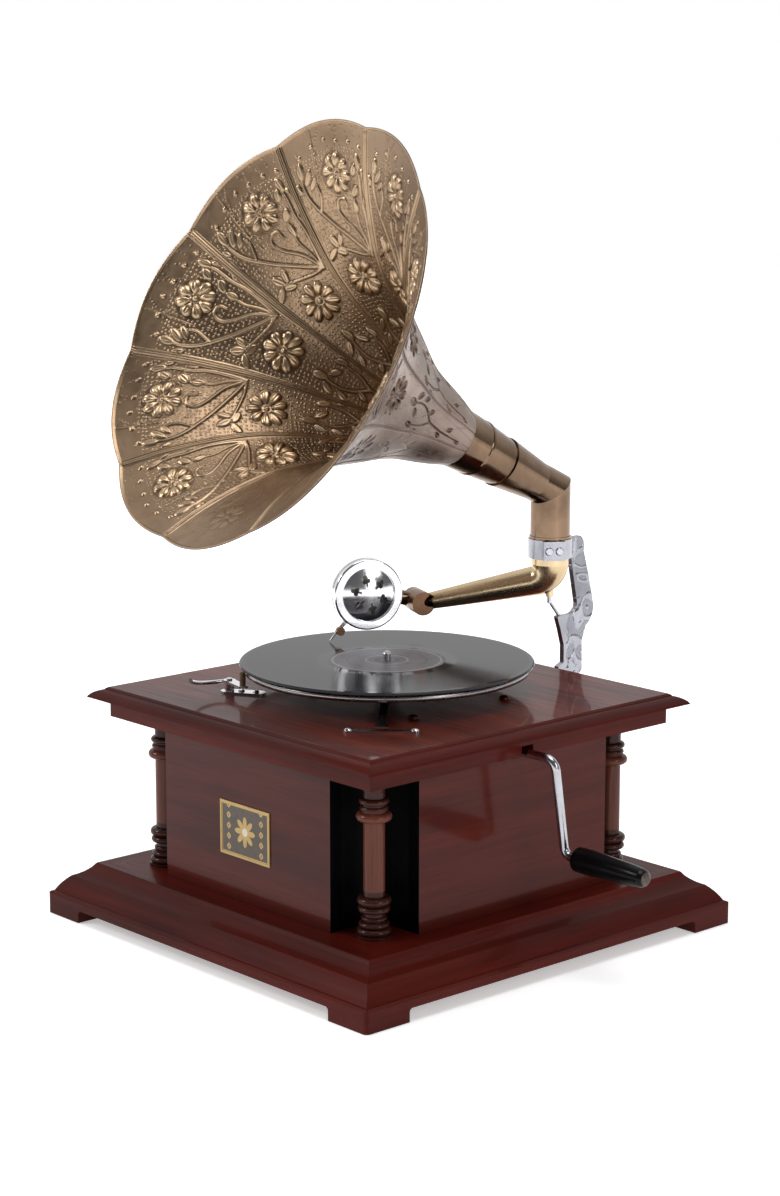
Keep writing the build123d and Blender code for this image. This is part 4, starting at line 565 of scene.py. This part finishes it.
# Heights over the sheet, in millimetres
stem_height, leaf_height, flower_height, rim_bead_height = 1.15, 1.4, 2.5, 1.3
fold_height, second_fold_height, rim_roll_height = 1.15, 0.5, 0.9
rim_bead_radius = 2.1
smooth_margin = 1.1  # the ground beside stems carries no beads
ground_from_rim, ground_from_throat, ground_from_seam = 23.5, 6, 5.0
full_size_radius = 120  # nearer the throat the seam's folds shrink with the radius


def petal_relief(radius, from_rim, span, pressed):
    """One petal, pressed by a share of full depth: height, share of beaded ground and share of dirt."""
    y = np.repeat(from_rim[:, None], len(span), axis=1)
    x = radius[:, None] * span[None, :]
    height, used = np.zeros(x.shape), np.zeros(x.shape, bool)
    for line, wide in stems:
        d, share = line_distance(x, y, bent(line))
        taper = wide * (1.15 - 0.5 * share)
        height = np.maximum(height, stem_height * ridge(d, taper))
        used |= d < taper + smooth_margin
    for cx, cy, length, width, turn in leaves:
        h, inside = leaf(x, y, cx, cy, length, width, radians(turn))
        height = np.maximum(height, leaf_height * h)
        used |= inside
    for cx, cy, reach, lobes, turn in flowers:
        h, inside = flower(x, y, cx, cy, reach, lobes, turn)
        height = np.where(inside, flower_height * h, height)
        used |= inside
    for cx, cy in rim_beads:
        d = np.hypot(x - cx, y - cy)
        height = np.maximum(height, rim_bead_height * ridge(d, rim_bead_radius))
        used |= d < rim_bead_radius + 0.9
    height = height * pressed
    edge = radius[:, None] * half_span - np.abs(x)
    size = np.clip(radius / full_size_radius, 0.35, 1)[:, None]
    fold = fold_height * ridge(edge - 0.9 * size, 0.9 * size)
    fold = np.maximum(fold, second_fold_height * ridge(edge - 3.2 * size, 0.7 * size))
    height = np.maximum(height * (edge > 4.4 * size), fold * size * np.clip((y + 2) / 8, 0, 1))
    height = np.maximum(height, rim_roll_height * ridge(y - 0.9, 1.3))
    beaded = (y > ground_from_rim) & (y < from_rim.max() - ground_from_throat) & ~used
    ground = pressed * (beaded & (edge > ground_from_seam * size))
    dirt = pressed * used * np.clip(1 - height / 0.5, 0, 1)
    dirt = np.maximum(dirt, np.exp(-(((edge - 2.1 * size) / (0.5 * size)) ** 2)))
    return height, ground, dirt


def sheet_faces(rows, columns):
    """Four-sided faces of a closed sheet of two layers: its top, its underside and its edge all round."""
    index = np.arange(rows * columns).reshape(rows, columns)
    top = np.stack([index[:-1, :-1], index[1:, :-1], index[1:, 1:], index[:-1, 1:]], -1).reshape(-1, 4)
    under = top[:, ::-1] + rows * columns
    loop = np.concatenate([index[0, :], index[1:, -1], index[-1, -2::-1], index[-2:0:-1, 0]])
    after = np.roll(loop, -1)
    sides = np.stack([loop, after, after + rows * columns, loop + rows * columns], -1)
    return top, under, sides


def petal_mesh(name, seam, pressed):
    """One pressed petal as a closed sheet, with its place in millimetres as the map of its beads."""
    radius, height_along, from_rim = bell_profile()
    span = half_span * across_steps
    relief, ground, dirt = petal_relief(radius, from_rim, span, pressed)
    # the rim is an arc that stands furthest out in the middle of each petal
    reach = seam_radius + (middle_radius - seam_radius) * np.clip(np.cos(across_steps * pi / 2), 0, 1)
    cut = np.interp(reach, radius, from_rim)
    total = from_rim[0]
    y = total - (1 - from_rim / total)[:, None] * (total - cut[None, :])
    r = np.interp(-y, -from_rim, radius)
    s = np.interp(-y, -from_rim, height_along)
    slope = np.arctan2(np.gradient(radius, from_rim), np.gradient(height_along, from_rim))
    tilt = np.interp(-y, -from_rim, slope)
    inward_r, inward_s = -np.cos(tilt), np.sin(tilt)
    flip = np.sign(-inward_r)
    inward_r, inward_s = inward_r * flip, inward_s * flip
    phi = seam + petal_turn / 2 + span[None, :]
    layers = []
    for depth in (relief, relief * 0.96 - sheet_thickness):
        rr, hh = r + inward_r * (depth + sheet_thickness), s + inward_s * (depth + sheet_thickness)
        out_side, out_up = rr * np.cos(phi), rr * np.sin(phi)
        layers.append(
            np.array(horn_foot)[None, None]
            + 0.001 * (hh[..., None] * np.array(horn_axis) + out_side[..., None] * np.array(horn_side)
                       + out_up[..., None] * np.array(horn_up))
        )
    top, under, sides = sheet_faces(*relief.shape)
    faces = np.concatenate([top, under, sides])
    points = np.concatenate([p.reshape(-1, 3) for p in layers])
    mesh = bpy.data.meshes.new(name)
    mesh.vertices.add(len(points))
    mesh.vertices.foreach_set("co", points.ravel())
    mesh.loops.add(faces.size)
    mesh.loops.foreach_set("vertex_index", faces.ravel())
    mesh.polygons.add(len(faces))
    mesh.polygons.foreach_set("loop_start", np.arange(0, faces.size, 4))
    mesh.polygons.foreach_set("use_smooth", np.ones(len(faces), bool))
    mesh.polygons.foreach_set("material_index", np.repeat((0, 1, 1), (len(top), len(under), len(sides))))
    mesh.update(calc_edges=True)
    mesh.validate()
    layers_of_values = {
        "relief": relief, "ground": ground, "dirt": dirt, "flat_x": r * span[None, :], "flat_y": y,
    }
    for label, values in layers_of_values.items():
        layer = mesh.attributes.new(label, "FLOAT", "POINT")
        layer.data.foreach_set("value", np.tile(values.ravel(), 2).astype(np.float32))
    return mesh


def pressed_brass(bead_pitch=3.8, bead_share=0.30):
    """Aged brass sheet, bright on the relief and brown in the hollows, with small beads on its ground.

    bead_pitch is in millimetres, and bead_share is a bead's radius as a share of it.
    """
    made, tree, shader, where = material("pressed_brass")
    relief, ground, dirt, flat_x, flat_y = (
        put(tree, "ShaderNodeAttribute", attribute_name=n).outputs["Fac"]
        for n in ("relief", "ground", "dirt", "flat_x", "flat_y")
    )
    names = {"Vector": joined(tree, flat_x, flat_y), "Scale": 1 / bead_pitch, "Randomness": 0.45}
    beads = put(tree, "ShaderNodeTexVoronoi", names, voronoi_dimensions="2D").outputs["Distance"]
    from_middle = maths(tree, "MINIMUM", maths(tree, "DIVIDE", beads, bead_share), 1.0)
    dome = maths(tree, "SQRT", maths(tree, "SUBTRACT", 1.0, maths(tree, "POWER", from_middle, 2.0)))
    dome = maths(tree, "MULTIPLY", dome, ground)
    stains = cloud(tree, where, 16.0, 5.0, 0.6)
    fine = cloud(tree, where, 90.0, 5.0, 0.65)
    raised = maths(tree, "MAXIMUM", remap(tree, relief, 0.1, 1.6), maths(tree, "MULTIPLY", dome, 0.7))
    old, bright, brown = (0.30, 0.205, 0.130), (0.52, 0.375, 0.235), (0.10, 0.06, 0.038)
    colour = mixed(tree, raised, old, bright)
    colour = mixed(tree, remap(tree, stains, 0.45, 0.72, 0.0, 0.5), colour, brown)
    colour = mixed(tree, remap(tree, fine, 0.5, 0.75, 0.0, 0.25), colour, brown)
    colour = mixed(tree, maths(tree, "MULTIPLY", dirt, 0.5), colour, (0.05, 0.03, 0.02))
    normal = bumped(tree, dome, 0.8, 0.0008, bumped(tree, fine, 0.06, 0.0004))
    rough = remap(tree, fine, 0.3, 0.7, 0.27, 0.40)
    feed(tree, shader, Base_Color=colour, Metallic=1.0, Roughness=rough, Normal=normal)
    return made


def pressed_outside():
    """The dull outside of the pressed sheet: brown in the hollows behind the relief."""
    made, tree, shader, where = material("pressed_brass_outside")
    relief = put(tree, "ShaderNodeAttribute", attribute_name="relief").outputs["Fac"]
    stains = cloud(tree, where, 22.0, 6.0, 0.65)
    fine = cloud(tree, where, 120.0, 5.0, 0.65)
    share = remap(tree, stains, 0.40, 0.72, 0.0, 0.6)
    colour = mixed(tree, share, (0.24, 0.18, 0.15), (0.12, 0.085, 0.07))
    patchy = remap(tree, fine, 0.30, 0.55, 0.25, 0.85)
    hollow = maths(tree, "MULTIPLY", remap(tree, relief, 0.1, 0.9), patchy)
    colour = mixed(tree, hollow, colour, (0.085, 0.05, 0.036))
    rough = maths(tree, "MULTIPLY_ADD", share, 0.18, 0.31)
    normal = bumped(tree, maths(tree, "ADD", fine, stains), 0.35, 0.0007)
    feed(tree, shader, Base_Color=colour, Metallic=1.0, Roughness=rough, Normal=normal)
    return made


petal_brass, petal_outside = pressed_brass(), pressed_outside()
faint_petals, faint_share = (6, 7), 0.22  # the lowest ones are barely pressed
for k in range(petal_count):
    name = f"petal_{k + 1}"
    pressed = faint_share if k in faint_petals else 1.0
    petal = added(name, petal_mesh(name, first_seam + k * petal_turn, pressed))
    petal.data.materials.append(petal_brass)
    petal.data.materials.append(petal_outside)
    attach(petal, "horn")
    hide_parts("horn_petals")


# ---- Floor, light and background ----

floor_half, floor_z = 6.0, -0.0005
floor_near, floor_far = 0.5, 1.8  # painted glow: the floor glows more strongly, and so gets whiter, between these distances from the object
corners = ((-1, -1), (1, -1), (1, 1), (-1, 1))
floor_mesh = bpy.data.meshes.new("floor")
floor_mesh.from_pydata([(floor_half * x, floor_half * y, floor_z) for x, y in corners], [], [(0, 1, 2, 3)])
floor = added("floor", floor_mesh)
pale, pale_tree, pale_shader, pale_where = material("floor_white_glowing")
feed(
    pale_tree, pale_shader, Roughness=0.9, Emission_Color=(1.0, 1.0, 1.0),
    Base_Color=mixed(pale_tree, cloud(pale_tree, pale_where, 3.0), (0.90,) * 3, (0.92,) * 3),
    # painted glow: the floor emits white light, weaker near the object and strongest from floor_far outwards
    Emission_Strength=remap(pale_tree, radius_of(pale_tree, pale_where), floor_near, floor_far, 0.42, 1.0),
)
floor_mesh.materials.append(pale)

# Rectangular soft boxes: place, the spot they face, width and height in metres, and watts
soft_boxes = {
    "key_left": ((-1.6, -2.2, 1.9), (0, 0, 0.3), (1.0, 1.0), 36),
    "fill_right": ((2.6, 0.2, 1.5), (0, 0, 0.25), (1.0, 1.2), 13),
    "low_right": ((2.4, -0.1, 0.5), (0, 0, 0.27), (0.5, 0.5), 4),
    "top": ((0.35, -0.35, 2.7), (0, 0, 0.2), (1.6, 1.6), 34),
}
for name, (place, target, (width, height), watts) in soft_boxes.items():
    light = bpy.data.lights.new(name, "AREA")
    light.shape, light.size, light.size_y, light.energy = "RECTANGLE", width, height, watts
    lamp = added(name, light)
    lamp.location = place
    lamp.rotation_euler = (Vector(target) - Vector(place)).to_track_quat("-Z", "Y").to_euler()

# A white room, bright behind the object and dim in front of it; seen directly it is white all round
world = bpy.data.worlds.new("studio")
scene.world = world
world.use_nodes = True
sky = world.node_tree
behind = (-0.742, 0.669, 0.0)
direction = put(sky, "ShaderNodeTexCoord").outputs["Generated"]
towards_back = put(sky, "ShaderNodeVectorMath", {0: direction, 1: behind}, operation="DOT_PRODUCT")
lit = remap(sky, towards_back.outputs["Value"], -0.2, 0.4, 0.12, 0.95)
seen = put(sky, "ShaderNodeLightPath").outputs["Is Camera Ray"]
background = sky.nodes["Background"]
background.inputs["Color"].default_value = (1, 1, 1, 1)
sky.links.new(maths(sky, "MAXIMUM", lit, seen), background.inputs["Strength"])
scene.view_settings.view_transform = "Standard"
